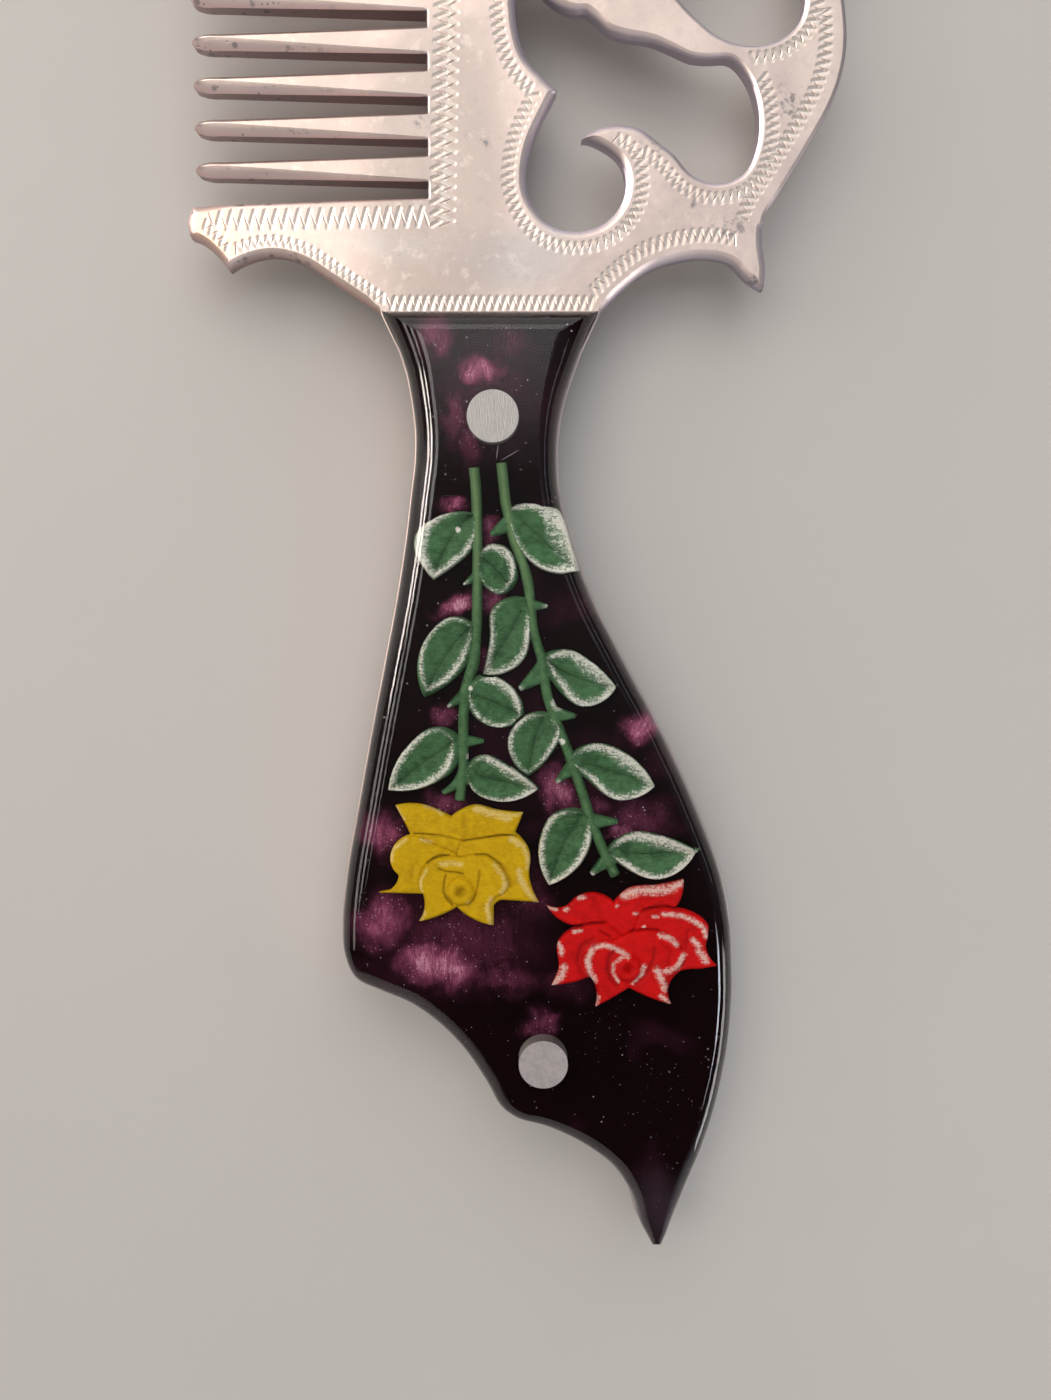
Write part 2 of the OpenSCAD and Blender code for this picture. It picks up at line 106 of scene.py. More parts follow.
def cad_outlines(node, height):
    """The outlines of a node's flat faces at that height, largest first, with the material on their left."""
    mesh = bmesh.new()
    mesh.from_mesh(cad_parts[node].data)
    bmesh.ops.remove_doubles(mesh, verts=mesh.verts, dist=1e-6)
    flat = {f for f in mesh.faces if all(abs(v.co.z * 1000 - height) < 0.003 for v in f.verts)}
    after = {}
    for face in flat:
        for corner in face.loops:
            if sum(f in flat for f in corner.edge.link_faces) == 1:
                after[corner.vert] = corner.link_loop_next.vert
    outlines = []
    while after:
        first = next(iter(after))
        walk = [first]
        while after[walk[-1]] is not first:
            walk.append(after[walk[-1]])
        for vertex in walk:
            del after[vertex]
        outlines.append(np.array([v.co[:2] for v in walk]) * 1000 - NECK_AT)
    mesh.free()
    outlines.sort(key=lambda o: -abs(area(o)))
    if area(outlines[0]) < 0:
        outlines = [o[::-1] for o in outlines]
    return outlines


def area(outline):
    x, y = outline.T
    return 0.5 * np.sum(x * np.roll(y, -1) - np.roll(x, -1) * y)


def length(vectors):
    return np.hypot(vectors[..., 0], vectors[..., 1])


def unit(vectors):
    return vectors / np.maximum(length(vectors), 1e-9)[..., None]


def leftward(vectors):
    """The vectors turned by a quarter to the left."""
    return np.column_stack([-vectors[:, 1], vectors[:, 0]])


def directions(outline):
    """The directions in which a closed outline comes to each point and leaves it."""
    ahead = unit(np.roll(outline, -1, 0) - outline)
    return np.roll(ahead, 1, 0), ahead


def sharp_corners(outline, limit):
    """Which points turn by more than that many degrees."""
    back, ahead = directions(outline)
    return np.degrees(np.arccos(np.clip(np.sum(back * ahead, 1), -1, 1))) > limit


def smoothed(outline, sharp, counts, longest=4.5, needle=180):
    """A smooth curve through a closed outline's points. Sharp corners stay sharp. Spans over the longest stay
    straight, and so do the two beside a tip that turns by more than needle degrees."""
    size = length(np.roll(outline, -1, 0) - outline)[:, None]
    back, ahead = directions(outline)
    lean = unit(ahead * np.roll(size, 1, 0) + back * size)
    tips = sharp_corners(outline, needle)[:, None]
    straight = (size > longest) | tips | np.roll(tips, -1, 0)
    lean = np.where(straight, ahead, np.where(np.roll(straight, 1, 0), back, lean))
    sharp = sharp[:, None]

    def at_end(own, other, own_sharp, other_sharp):
        """The curve's way at one end of each span. At a sharp corner it mirrors the way at the other end."""
        mirrored = 2 * np.sum(other * ahead, 1)[:, None] * ahead - other
        curved_way = np.where(own_sharp, np.where(other_sharp, ahead, mirrored), own)
        return np.where(straight, ahead, curved_way) * size

    next_lean, next_sharp = np.roll(lean, -1, 0), np.roll(sharp, -1, 0)
    leaving = at_end(lean, next_lean, sharp, next_sharp)
    arriving = at_end(next_lean, lean, next_sharp, sharp)
    points = []
    for i, pieces in enumerate(counts):
        t = (np.arange(pieces) / pieces)[:, None]
        a, b = outline[i], outline[(i + 1) % len(outline)]
        points.append(a * (2 * t**3 - 3 * t**2 + 1) + leaving[i] * (t**3 - 2 * t**2 + t)
                      + b * (3 * t**2 - 2 * t**3) + arriving[i] * (t**3 - t**2))
    return np.vstack(points)


def pieces_of(outline, step):
    """Into how many pieces of about that length each span goes."""
    return np.ceil(length(np.roll(outline, -1, 0) - outline) / step).astype(int).clip(1)


def curved(outlines, step, corner=56, needle=180):
    """The outlines as smooth curves in pieces of about that length. They stay sharp where they turn by more
    than corner degrees."""
    return [smoothed(o, sharp_corners(o, corner), pieces_of(o, step), needle=needle) for o in outlines]


def inward(outline):
    """At each point, the direction across the edge into the material."""
    return leftward(unit(sum(directions(outline))))


def in_parts(points, rows, work):
    """Runs work on the points, so many rows at a time, to keep the memory small."""
    parts = [work(points[i:i + rows]) for i in range(0, len(points), rows)]
    if isinstance(parts[0], tuple):
        return tuple(np.concatenate(column) for column in zip(*parts))
    return np.concatenate(parts)


def nearest(points, starts, ends):
    """The nearest line piece to each point: how far off it is, its index, and how far along it that is."""
    run = ends - starts
    square = np.maximum(np.sum(run**2, 1), 1e-12)

    def work(part):
        offset = part[:, None] - starts[None]
        share = np.clip(np.sum(offset * run, 2) / square, 0, 1)
        away = length(offset - share[..., None] * run)
        index = away.argmin(1)
        row = np.arange(len(part))
        return away[row, index], index, share[row, index]
    return in_parts(points, 800, work)


def border_of(outlines):
    """The line pieces round some closed outlines, as starts and ends."""
    return np.vstack(outlines), np.vstack([np.roll(o, -1, 0) for o in outlines])


def inside(points, outlines):
    """Which points lie within the outlines, with their holes left out."""
    starts, ends = border_of(outlines)
    rise = ends[:, 1] - starts[:, 1]
    slope = (ends[:, 0] - starts[:, 0]) / np.where(rise == 0, 1, rise)

    def work(part):
        x, y = part[:, :1], part[:, 1:]
        crossed = (starts[:, 1] > y) != (ends[:, 1] > y)
        return (crossed & (x < starts[:, 0] + slope * (y - starts[:, 1]))).sum(1) % 2 == 1
    return in_parts(points, 800, work)


def across_longest(triangles, corners):
    """The triangle on the other side of each one's longest edge, or -1."""
    pairs = np.sort(np.stack([triangles, np.roll(triangles, -1, 1)], 2).reshape(-1, 2), 1)
    keys = pairs[:, 0] * (pairs.max() + 1) + pairs[:, 1]
    order = keys.argsort(kind="stable")
    first, second = order[:-1], order[1:]
    shared = keys[first] == keys[second]
    beyond = np.full(len(keys), -1)
    beyond[first[shared]] = second[shared] // 3
    beyond[second[shared]] = first[shared] // 3
    longest = length(corners - np.roll(corners, -1, 1)).argmax(1)
    return beyond.reshape(-1, 3)[np.arange(len(triangles)), longest]


def filled(outlines, spots=np.zeros((0, 2)), lines=()):
    """Triangles that fill the outlines through the spots and along the lines, which are pairs of spots.
    Returns the points, the triangles, and which of the given points each one is, or -1. A sliver, whose
    corners are all but in line, belongs to the side that the triangle past its longest edge is on."""
    points = np.vstack([*outlines, spots])
    edges = []
    start = 0
    for outline in outlines:
        n = len(outline)
        edges += [(start + i, start + (i + 1) % n) for i in range(n)]
        start += n
    edges += [(start + a, start + b) for a, b in lines]
    made = delaunay_2d_cdt([Vector(p) for p in points.tolist()], edges, [], 0, 1e-6)
    flat = np.array([tuple(p) for p in made[0]])
    triangles = np.array(made[2])
    corners = flat[triangles]
    a, b = corners[:, 1] - corners[:, 0], corners[:, 2] - corners[:, 0]
    turn = a[:, 0] * b[:, 1] - a[:, 1] * b[:, 0]
    triangles = np.where(turn[:, None] > 0, triangles, triangles[:, ::-1])
    kept = inside(corners.mean(1), outlines)
    thin = np.flatnonzero(abs(turn) < SLIVER)
    beyond = across_longest(triangles, corners)[thin]
    # Slivers lie side by side, so this goes from one to the next
    for _ in range(8):
        kept[thin] = (beyond >= 0) & kept[beyond]
    origin = np.array([min(ids) if ids else -1 for ids in made[3]])
    return flat, triangles[kept], origin


class Shell:
    """The points and faces of a piece while it is put together."""

    def __init__(self):
        self.points = []
        self.faces = []
        self.smooth = []
        self.count = 0

    def add(self, flat, heights):
        """Adds points of the drawing at those heights, and returns their numbers."""
        self.points.append(in_frame(flat, heights))
        self.count += len(flat)
        return np.arange(self.count - len(flat), self.count)

    def wall(self, rings):
        """Smooth faces from each closed ring of point numbers to the next, upwards round the material."""
        for low, high in zip(rings, rings[1:]):
            self.faces += np.column_stack([low, np.roll(low, -1), np.roll(high, -1), high]).tolist()
            self.smooth += [True] * len(low)

    def face(self, corners, upward, smooth=False):
        """Faces of those point numbers, which look up or else down."""
        self.faces += (corners if upward else corners[:, ::-1]).tolist()
        self.smooth += [smooth] * len(corners)

    def piece(self, name, material, fields=None, crease=38):
        """The mesh object. Its fields become attributes of its points, and smooth faces meet in a sharp edge
        where they turn by more than crease degrees."""
        mesh = bpy.data.meshes.new(name)
        mesh.from_pydata(np.vstack(self.points).tolist(), [], self.faces)
        mesh.polygons.foreach_set("use_smooth", self.smooth)
        for field, values in (fields or {}).items():
            mesh.attributes.new(field, "FLOAT", "POINT").data.foreach_set("value", values.astype(np.float32))
        shape = bmesh.new()
        shape.from_mesh(mesh)
        bmesh.ops.remove_doubles(shape, verts=shape.verts, dist=2e-7)
        loose = [v for v in shape.verts if not v.link_faces]
        bmesh.ops.delete(shape, geom=loose, context="VERTS")
        shape.to_mesh(mesh)
        shape.free()
        rounded = np.zeros(len(mesh.polygons), bool)
        mesh.polygons.foreach_get("use_smooth", rounded)
        mesh.set_sharp_from_angle(angle=math.radians(crease))
        mesh.polygons.foreach_set("use_smooth", rounded)
        mesh.materials.append(material)
        piece = bpy.data.objects.new(name, mesh)
        bpy.context.scene.collection.objects.link(piece)
        return piece


def add_node(tree, kind, settings=(), sockets=()):
    """Adds a node, sets it, and gives its sockets, by name or number, a value or a link each."""
    made = tree.nodes.new(kind)
    for key, value in dict(settings).items():
        setattr(made, key, value)
    for key, value in dict(sockets).items():
        named = [s for s in made.inputs if s.enabled and s.name == key]
        socket = made.inputs[key] if isinstance(key, int) else named[0]
        if isinstance(value, bpy.types.NodeSocket):
            tree.links.new(value, socket)
        else:
            socket.default_value = value
    return [s for s in made.outputs if s.enabled]


class Wire:
    """One value that varies over a material. Sums and products of wires add Math nodes."""

    def __init__(self, finish, socket):
        self.finish = finish
        self.socket = socket

    def math(self, operation, first, second):
        return self.finish.node("ShaderNodeMath", {"operation": operation}, {0: first, 1: second})

    def __add__(self, other):
        return self.math("ADD", self, other)

    def __sub__(self, other):
        return self.math("SUBTRACT", self, other)

    def __rsub__(self, other):
        return self.math("SUBTRACT", other, self)

    def __mul__(self, other):
        return self.math("MULTIPLY", self, other)

    __radd__ = __add__
    __rmul__ = __mul__

    def larger(self, other):
        return self.math("MAXIMUM", self, other)

    def held(self):
        """The same value, kept between 0 and 1."""
        return self.finish.node("ShaderNodeClamp", {}, {"Value": self, "Min": 0.0, "Max": 1.0})

    def ramp(self, start, end):
        """0 up to start, 1 from end on, and smooth between."""
        return self.finish.node("ShaderNodeMapRange", {"interpolation_type": "SMOOTHSTEP"},
                                {"Value": self, "From Min": start, "From Max": end})


class Finish:
    """A material or a world, whose nodes are added as they are asked for."""

    def __init__(self, name, kinds=bpy.data.materials):
        self.made = kinds.new(name)
        self.made.use_nodes = True
        self.tree = self.made.node_tree
        self.tree.nodes.clear()
        self.place = self.tree.nodes.new("ShaderNodeTexCoord")

    def node(self, kind, settings, sockets, out=0):
        """Adds a node whose sockets take a value or a wire each. Returns one of its outputs."""
        values = {key: value.socket if isinstance(value, Wire) else value for key, value in sockets.items()}
        shown = add_node(self.tree, kind, settings, values)
        return Wire(self, shown[out]) if shown else None

    def drawn(self):
        """The place on the object, in the drawing's millimetres."""
        return self.moved(Wire(self, self.place.outputs["Object"]),
                          (-NECK_AT[0], -NECK_AT[1], 0.0), 0.0, (1000.0, 1000.0, 1000.0))

    def moved(self, where, shift, turn, scale, kind="POINT"):
        """The place scaled, turned about z and shifted, or the other way round with kind TEXTURE."""
        return self.node("ShaderNodeMapping", {"vector_type": kind},
                         {"Vector": where, "Location": shift, "Rotation": (0.0, 0.0, turn), "Scale": scale})

    def noise(self, where, scale, detail, roughness, distortion=0.0):
        return self.node("ShaderNodeTexNoise", {}, {"Vector": where, "Scale": scale, "Detail": detail,
                                                    "Roughness": roughness, "Distortion": distortion})

    def streaks(self, where, turn, scale, *noise):
        """Noise that is turned by that angle and drawn out to streaks by a scale along and across."""
        return self.noise(self.moved(where, (0.0, 0.0, 0.0), turn, (*scale, 1.0)), *noise)

    def specks(self, where, scale, size, share):
        """Small dots in a share of the cells of that scale. The size is a share of a cell."""
        far = self.node("ShaderNodeTexVoronoi", {}, {"Vector": where, "Scale": scale})
        lot = self.node("ShaderNodeTexVoronoi", {}, {"Vector": where, "Scale": scale}, out=1)
        picked = self.node("ShaderNodeSeparateColor", {}, {"Color": lot})
        return (1.0 - far.ramp(size * 0.5, size)) * (1.0 - picked.ramp(share, share + 0.02))

    def spot(self, where, at, size, turn=0.0):
        """1 in the middle of an oval place, falling to 0 at its edge."""
        local = self.moved(where, (*at, 0.0), math.radians(turn), (size[0], size[1], 1000.0), "TEXTURE")
        away = self.node("ShaderNodeVectorMath", {"operation": "LENGTH"}, {0: local})
        return (1.0 - away).held()

    def spots(self, where, places, edge=None):
        """The strongest of several oval places, each with its middle, half sizes, turn and strength. edge is
        where their soft edge starts and ends."""
        strongest = None
        for at, size, turn, strength in places:
            spot = self.spot(where, at, size, turn)
            spot = (spot.ramp(*edge) if edge else spot) * strength
            strongest = strongest.larger(spot) if strongest else spot
        return strongest

    def field(self, name):
        """One of the piece's own attributes."""
        return self.node("ShaderNodeAttribute", {"attribute_name": name}, {}, out=2)

    def mix(self, share, first, second):
        """A colour between two, each a wire or three numbers."""
        first, second = ((*c, 1.0) if isinstance(c, tuple) else c for c in (first, second))
        return self.node("ShaderNodeMix", {"data_type": "RGBA"}, {"Factor": share, "A": first, "B": second})

    def layered(self, tone, coats):
        """A colour with coats over it in turn. Each coat has its share and its colour."""
        for share, tint in coats:
            tone = self.mix(share, tone, tint)
        return tone

    def through(self, share, stops):
        """A colour that goes through the stops as the share goes from 0 to 1."""
        shown = self.node("ShaderNodeValToRGB", {}, {"Fac": share})
        elements = shown.socket.node.color_ramp.elements
        while len(elements) < len(stops):
            elements.new(1.0)
        for element, (place, tint) in zip(elements, stops):
            element.position = place
            element.color = (*tint, 1.0)
        return shown

    def bump(self, height, distance):
        """Raises the surface by a height of up to that many millimetres."""
        sockets = {"Height": height, "Strength": 1.0, "Distance": distance / 1000}
        return self.node("ShaderNodeBump", {}, sockets)

    def surface(self, sockets):
        """The material's main shader."""
        return self.node("ShaderNodeBsdfPrincipled", {}, sockets)

    def done(self, shader, output="ShaderNodeOutputMaterial"):
        self.node(output, {}, {"Surface": shader})
        return self.made


def matt_aluminium():
    """Aluminium that was filed, rubbed down and used for years, with fresh metal in the engraved cuts. It has
    painted highlights in the cuts, painted reflections on its bevels and painted shade on its walls.
    """
    finish = Finish("matt_aluminium")
    where = finish.drawn()
    sideways = finish.node("ShaderNodeSeparateXYZ", {}, {"Vector": where})
    clouds = finish.noise(where, 0.07, 4.0, 0.6, 0.6)
    blotches = finish.noise(where, 0.5, 6.0, 0.7)
    fine = finish.noise(where, 2.4, 4.0, 0.7)
    uneven = finish.noise(where, 0.8, 5.0, 0.7)
    grain = finish.streaks(where, 0.5, (0.35, 3.0), 3.0, 3.0, 0.6)
    cross = finish.streaks(where, -0.9, (0.3, 3.0), 2.0, 3.0, 0.6)
    slug, scribed, filed, sawn_and_shaded = (finish.field(name) for name in ("slug", "scribed", "filed", "sawn_and_shaded"))
    stain = (finish.spots(where, STAINS) * 1.6 * uneven.ramp(0.40, 0.66)).ramp(0.10, 0.95)
    toothed = sideways.ramp(TOOTH_ROOTS + 1.0, TOOTH_ROOTS - 1.0)
    pitted = sideways.ramp(-20.0, -33.0) * filed.ramp(0.05, 0.3)
    pits = finish.specks(where, 0.62, 0.34, 0.60).larger(finish.specks(where, 1.4, 0.30, 0.35))
    pits = pits * (0.10 + 0.90 * pitted) * uneven.ramp(0.28, 0.46)
    # The face's two tones are warmer than bare aluminium: a painted warm reflection over the metal's own grey
    tone = finish.mix(clouds.ramp(0.38, 0.62), (0.51, 0.425, 0.388), (0.60, 0.500, 0.457))
    tone = finish.layered(tone, [
        (finish.spot(where, at, size, turn).ramp(*edge) * strong, tint)
        for at, size, turn, edge, strong, tint in TONE_PATCHES_AND_HIGHLIGHT])
    # From the face's soft patches through the filed, sawn and engraved metal, with painted reflections, shade
    # and highlights among them, to the stains and the pits
    tone = finish.layered(tone, [
        (sideways.ramp(-14.0, -24.0) * 0.20, (0.46, 0.355, 0.31)),
        (blotches.ramp(0.50, 0.68) * 0.38, (0.45, 0.385, 0.365)),
        (blotches.ramp(0.46, 0.32) * 0.40, (0.68, 0.595, 0.545)),
        (fine.ramp(0.56, 0.70) * 0.25, (0.37, 0.33, 0.32)),
        # Painted reflections: a lavender tint on the bevels away from the teeth, and a red-brown tint on the
        # teeth's bevels
        (filed * 0.8 * (1.0 - toothed), (0.50, 0.46, 0.57)),
        (filed * 0.9 * toothed, (0.51, 0.325, 0.305)),
        (pitted * 0.36, (0.35, 0.32, 0.33)),
        # The sawn walls are darker, partly as rough-cut metal and partly as painted shade
        (sawn_and_shaded * 0.45, (0.31, 0.265, 0.28)),
        (scribed.ramp(0.0, 0.25) * 0.5, (0.36, 0.265, 0.225)),
        (slug.ramp(0.0, 0.16) * 0.36, (0.40, 0.32, 0.28)),
        # The slugs are paler: fresh metal, and a painted highlight of the bright cuts
        (slug.ramp(0.12, 0.40) * 0.70, (0.70, 0.63, 0.57)),
        (stain * 0.8, (0.15, 0.155, 0.17)),
        (pits * 0.75, (0.15, 0.14, 0.14))])
    rough = 0.42 + 0.16 * (clouds - 0.5) + 0.14 * (fine - 0.5) - 0.06 * slug + 0.12 * stain
    relief = 0.5 * grain + 0.5 * cross + 0.9 * blotches - 2.0 * pits
    return finish.done(finish.surface({
        "Base Color": tone, "Metallic": 1.0 - 0.45 * slug.ramp(0.1, 0.4), "Roughness": rough,
        "Normal": finish.bump(relief, 0.014)}))


def bevel_of(points, normals):
    """Width and depth of the filed bevel at points of the plate's edge. It grows from a tooth's root to its
    tip, is narrow on the ring and fades out below the neck line."""
    x, y = points.T
    comb_side = (x < TOOTH_ROOTS + 1.0) & (y > COMB_START) & (y < 2 * AXIS - COMB_START)
    teeth = comb_side & (abs(y - AXIS) < TEETH_HALF)
    to_tip = np.clip((TOOTH_ROOTS - x) / TOOTH_LENGTH, 0, 1)
    guard_tip = np.clip((GUARD_TIPS - x) / 3.0, 0, 1)
    under = normals[:, 1]
    ring = np.clip((x - 13.0) / 6.0, 0, 1) * (length(points - RING_MIDDLE) < RING_REACH) * (y > 9.5)
    plain = BEVEL_WIDTH + (RING_BEVEL_WIDTH - BEVEL_WIDTH) * ring
    width = np.select([teeth, comb_side],
                      [0.28 + to_tip * (0.725 + 0.425 * under), 0.35 + 0.45 * guard_tip], plain)
    depth = np.select([teeth, comb_side],
                      [0.24 + to_tip * 0.62, 0.25 + 0.25 * guard_tip],
                      plain * (0.6 + 0.8 * np.clip(under, 0, 1)))
    head = np.clip((y + 0.6) / 1.8, 0, 1)
    return LEAST_BEVEL + (np.array([width, depth]) - LEAST_BEVEL) * head


def room_for(points, normals, widths, rivals):
    """How far each point can move in before its bevel all but meets the one from the edge across."""
    others = np.vstack(rivals)
    other_widths = np.concatenate([bevel_of(r, inward(r))[0] for r in rivals])

    def work(rows):
        offset = others[None] - points[rows, None]
        ahead = np.sum(offset * normals[rows, None], 2)
        far = np.where(ahead > 1e-4, np.sum(offset**2, 2) / np.maximum(2 * ahead, 1e-6), 1e6)
        index = far.argmin(1)
        share = widths[rows] / (widths[rows] + other_widths[index])
        return 0.95 * 2 * far[np.arange(len(rows)), index] * share
    return in_parts(np.arange(len(points)), 400, work)


# The first four outlines are the plate's borders, outside and in the ring, and the rest are the rivets' bores
plate_outlines = cad_outlines("comb_plate", PLATE_HIGH)
plate_edges = curved(plate_outlines[:4], EDGE_STEP)
dense_edges = curved(plate_outlines[:4], ROOM_STEP)
plate_bores = curved(plate_outlines[4:], BORE_STEP)
outer_edge = plate_edges[0]
bean_edge = min(plate_edges[1:], key=lambda e: abs(area(e)))
lower_scroll_edge = min(plate_edges[1:], key=lambda e: e[:, 1].mean())


# The zigzags on the plate, cut with a flat graver that is rocked from side to side as it goes forward. They
# follow the borders of the head at a set distance, and the lower half of the head is drawn and mirrored.
# A stroke one way is a broad shallow slug, and the stroke back is a thin scribed line.

# Each kind of cut: half its width and its depth. Fields of the same names tell where they are on the plate
CUTS = {"slug": (0.38, 0.07), "scribed": (0.15, 0.06)}


def beside(edge, start, end, inset):
    """A path inside an edge, from the point nearest to start to the one nearest to end. inset has how far
    inside it starts and ends."""
    first, last = (length(edge - corner).argmin() for corner in (start, end))
    n = len(edge)
    ahead, back = (last - first) % n, (first - last) % n
    picked = (first + np.arange(ahead + 1)) % n if ahead <= back else (first - np.arange(back + 1)) % n
    away = np.linspace(inset[0], inset[1], len(picked))
    path = edge[picked] + inward(edge)[picked] * away[:, None]
    clear = nearest(path, *border_of(plate_edges))[0] > 0.97 * away
    return path[clear]


def straight(start, end):
    return np.linspace(start, end, 12)


spine_path = np.vstack([
    straight((-3.4, AXIS), (-3.35, 38.2)), beside(lower_scroll_edge, (-1.1, 36.5), (12.2, 13.6), (2.2, 2.1)),
    [(14.5, 15.2), (14.3, 17.2), (13.6, 19.0), (12.5, 20.2), (10.9, 20.7)]])
# Each zigzag: its path, the step from one stroke to the next, half its width at the start and at the end,
# whether the other half of the head has it too, and whether every other stroke from its first on is a slug
ZIGZAGS = [
    (spine_path, 0.49, 0.62, 0.56, True, True),
    (beside(lower_scroll_edge, (15.9, 20.5), (27.4, 27.2), (2.0, 1.45)), 0.49, 0.58, 0.55, True, True),
    (beside(bean_edge, (26.6, 31.5), (31.8, AXIS - 0.2), (1.5, 1.5)), 0.49, 0.55, 0.55, True, True),
    (beside(outer_edge, (37.2, AXIS), (30.0, 10.6), (2.5, 2.6)), 0.49, 0.62, 0.62, True, True),
    (beside(outer_edge, (27.0, 4.4), (9.9, 0.6), (2.7, 2.3)), 0.50, 0.66, 0.62, True, False),
    (beside(outer_edge, (-18.4, 0.2), (-36.5, 5.2), (1.5, 1.7)), 0.46, 0.50, 0.55, True, True),
    (np.array([(-36.9, 7.4), (-38.1, 9.0), (-39.7, 10.6)]), 0.46, 0.50, 0.45, True, True),
    (straight((-39.0, 10.85), (-12.0, 11.35)), 0.69, 1.05, 1.1, True, False),
    (straight((-9.85, AXIS), (-11.1, 10.2)), 0.67, 0.88, 0.55, True, True),
    (straight((-8.5, AXIS), (-9.75, 10.2)), 0.67, 0.42, 0.80, True, False),
    (straight((-17.2, 0.98), (8.4, 0.98)), 0.49, 0.70, 0.70, False, False),
]


def zigzag_tree():
    """Nodes that turn a path into a zigzag. The path's radius is half the width of the zigzag."""
    tree = bpy.data.node_groups.new("rocked graver", "GeometryNodeTree")
    for name, way, kind in (("Path", "INPUT", "Geometry"), ("Step", "INPUT", "Float"),
                            ("Metal", "INPUT", "Material"), ("Strokes", "OUTPUT", "Geometry")):
        tree.interface.new_socket(name, in_out=way, socket_type="NodeSocket" + kind)

    def add(*node):
        return add_node(tree, *node)[0]

    path, step, metal = add_node(tree, "NodeGroupInput")[:3]
    even = add("GeometryNodeResampleCurve", {"mode": "LENGTH"}, {"Curve": path, "Length": step})
    odd = add("ShaderNodeMath", {"operation": "MODULO"}, {0: add("GeometryNodeInputIndex"), 1: 2.0})
    side = add("ShaderNodeMath", {"operation": "MULTIPLY_ADD"}, {0: odd, 1: 2.0, 2: -1.0})
    swing = add("ShaderNodeMath", {"operation": "MULTIPLY"}, {0: side, 1: add("GeometryNodeInputRadius")})
    tangent = add("GeometryNodeInputTangent")
    across = add("ShaderNodeVectorMath", {"operation": "CROSS_PRODUCT"}, {0: tangent, 1: (0.0, 0.0, 1.0)})
    moved = add("ShaderNodeVectorMath", {"operation": "SCALE"}, {0: across, "Scale": swing})
    swung = add("GeometryNodeSetPosition", {}, {"Geometry": even, "Offset": moved})
    strokes = add("GeometryNodeCurveToMesh", {}, {"Curve": swung})
    real = add("GeometryNodeRealizeInstances", {}, {"Geometry": strokes})
    shown = add("GeometryNodeSetMaterial", {}, {"Geometry": real, "Material": metal})
    add_node(tree, "NodeGroupOutput", {}, {"Strokes": shown})
    return tree


def zigzag(tree, path, step, start_half, end_half, metal):
    """The corners of one zigzag along a path of the drawing."""
    curve = bpy.data.curves.new("engraved path", "CURVE")
    curve.dimensions = "3D"
    line = curve.splines.new("POLY")
    line.points.add(len(path) - 1)
    for point, at, half in zip(line.points, path, np.linspace(start_half, end_half, len(path))):
        point.co = (*at, 0.0, 1.0)
        point.radius = half
    drawn = bpy.data.objects.new("engraved path", curve)
    bpy.context.scene.collection.objects.link(drawn)
    maker = drawn.modifiers.new("rocked graver", "NODES")
    maker.node_group = tree
    given = {"Step": step, "Metal": metal}
    for socket in tree.interface.items_tree:
        if socket.name in given:
            maker[socket.identifier] = given[socket.name]
    seen = drawn.evaluated_get(bpy.context.evaluated_depsgraph_get())
    strokes = bpy.data.meshes.new_from_object(seen)
    corners = np.array([v.co[:2] for v in strokes.vertices])
    bpy.data.objects.remove(drawn)
    bpy.data.curves.remove(curve)
    bpy.data.meshes.remove(strokes)
    return corners


aluminium = matt_aluminium()
graver = zigzag_tree()
strokes = {"slug": [], "scribed": []}
for path, step, start_half, end_half, both, slug_first in ZIGZAGS:
    corners = zigzag(graver, path, step, start_half, end_half, aluminium)
    for turned in ([1, 1], [1, -1]) if both else ([1, 1],):
        ends = corners * turned + [0, AXIS * (1 - turned[1])]
        for first, kind in enumerate(("slug", "scribed") if slug_first else ("scribed", "slug")):
            strokes[kind].append(np.hstack([ends[first:-1:2], ends[first + 1::2]]))
border_inward = np.vstack([inward(e) for e in plate_edges])
border_bevel = np.concatenate([bevel_of(e, inward(e))[0] for e in plate_edges])


def kept_in(points, half):
    """The points, moved in where a cut would run over the bevel, and whether each is then clear of it."""
    away, index, _ = nearest(points, *border_of(plate_edges))
    short = np.maximum(border_bevel[index] + half + 0.05 - away, 0)
    return points + border_inward[index] * short[:, None], (short < 0.5) & inside(points, plate_edges)


def clear_strokes(strokes, half):
    """The starts and ends of the strokes that stay on the flat face."""
    strokes = np.vstack(strokes)
    starts, first_clear = kept_in(strokes[:, :2], half)
    ends, last_clear = kept_in(strokes[:, 2:], half)
    clear = first_clear & last_clear & (length(ends - starts) > 0.2)
    return starts[clear], ends[clear]


cuts = {kind: (*clear_strokes(strokes[kind], half), half) for kind, (half, _) in CUTS.items()}


def cut_lines(starts, ends, half):
    """Spots and lines that cuts need in the mesh: their bottoms, their two rims and a few round each end."""
    along = unit(ends - starts)
    aside = leftward(along)
    n = len(starts)
    spots = [end + aside * shift for shift in (0.0, half, -half) for end in (starts, ends)]
    lines = [(k * n + i, (k + 1) * n + i) for k in (0, 2, 4) for i in range(n)]
    for turn in (-0.9, 0.0, 0.9):
        away = along * math.cos(turn) + aside * math.sin(turn)
        spots += [ends + away * half, starts - away * half]
    return np.vstack(spots), lines


def cut_share(points, starts, ends, half):
    """How deep each point of the face lies in these cuts, from 0 at the face to 1 at the bottom."""
    share = 1 - nearest(points, starts, ends)[0] / half
    return np.where(share > 0.004, share, 0.0)


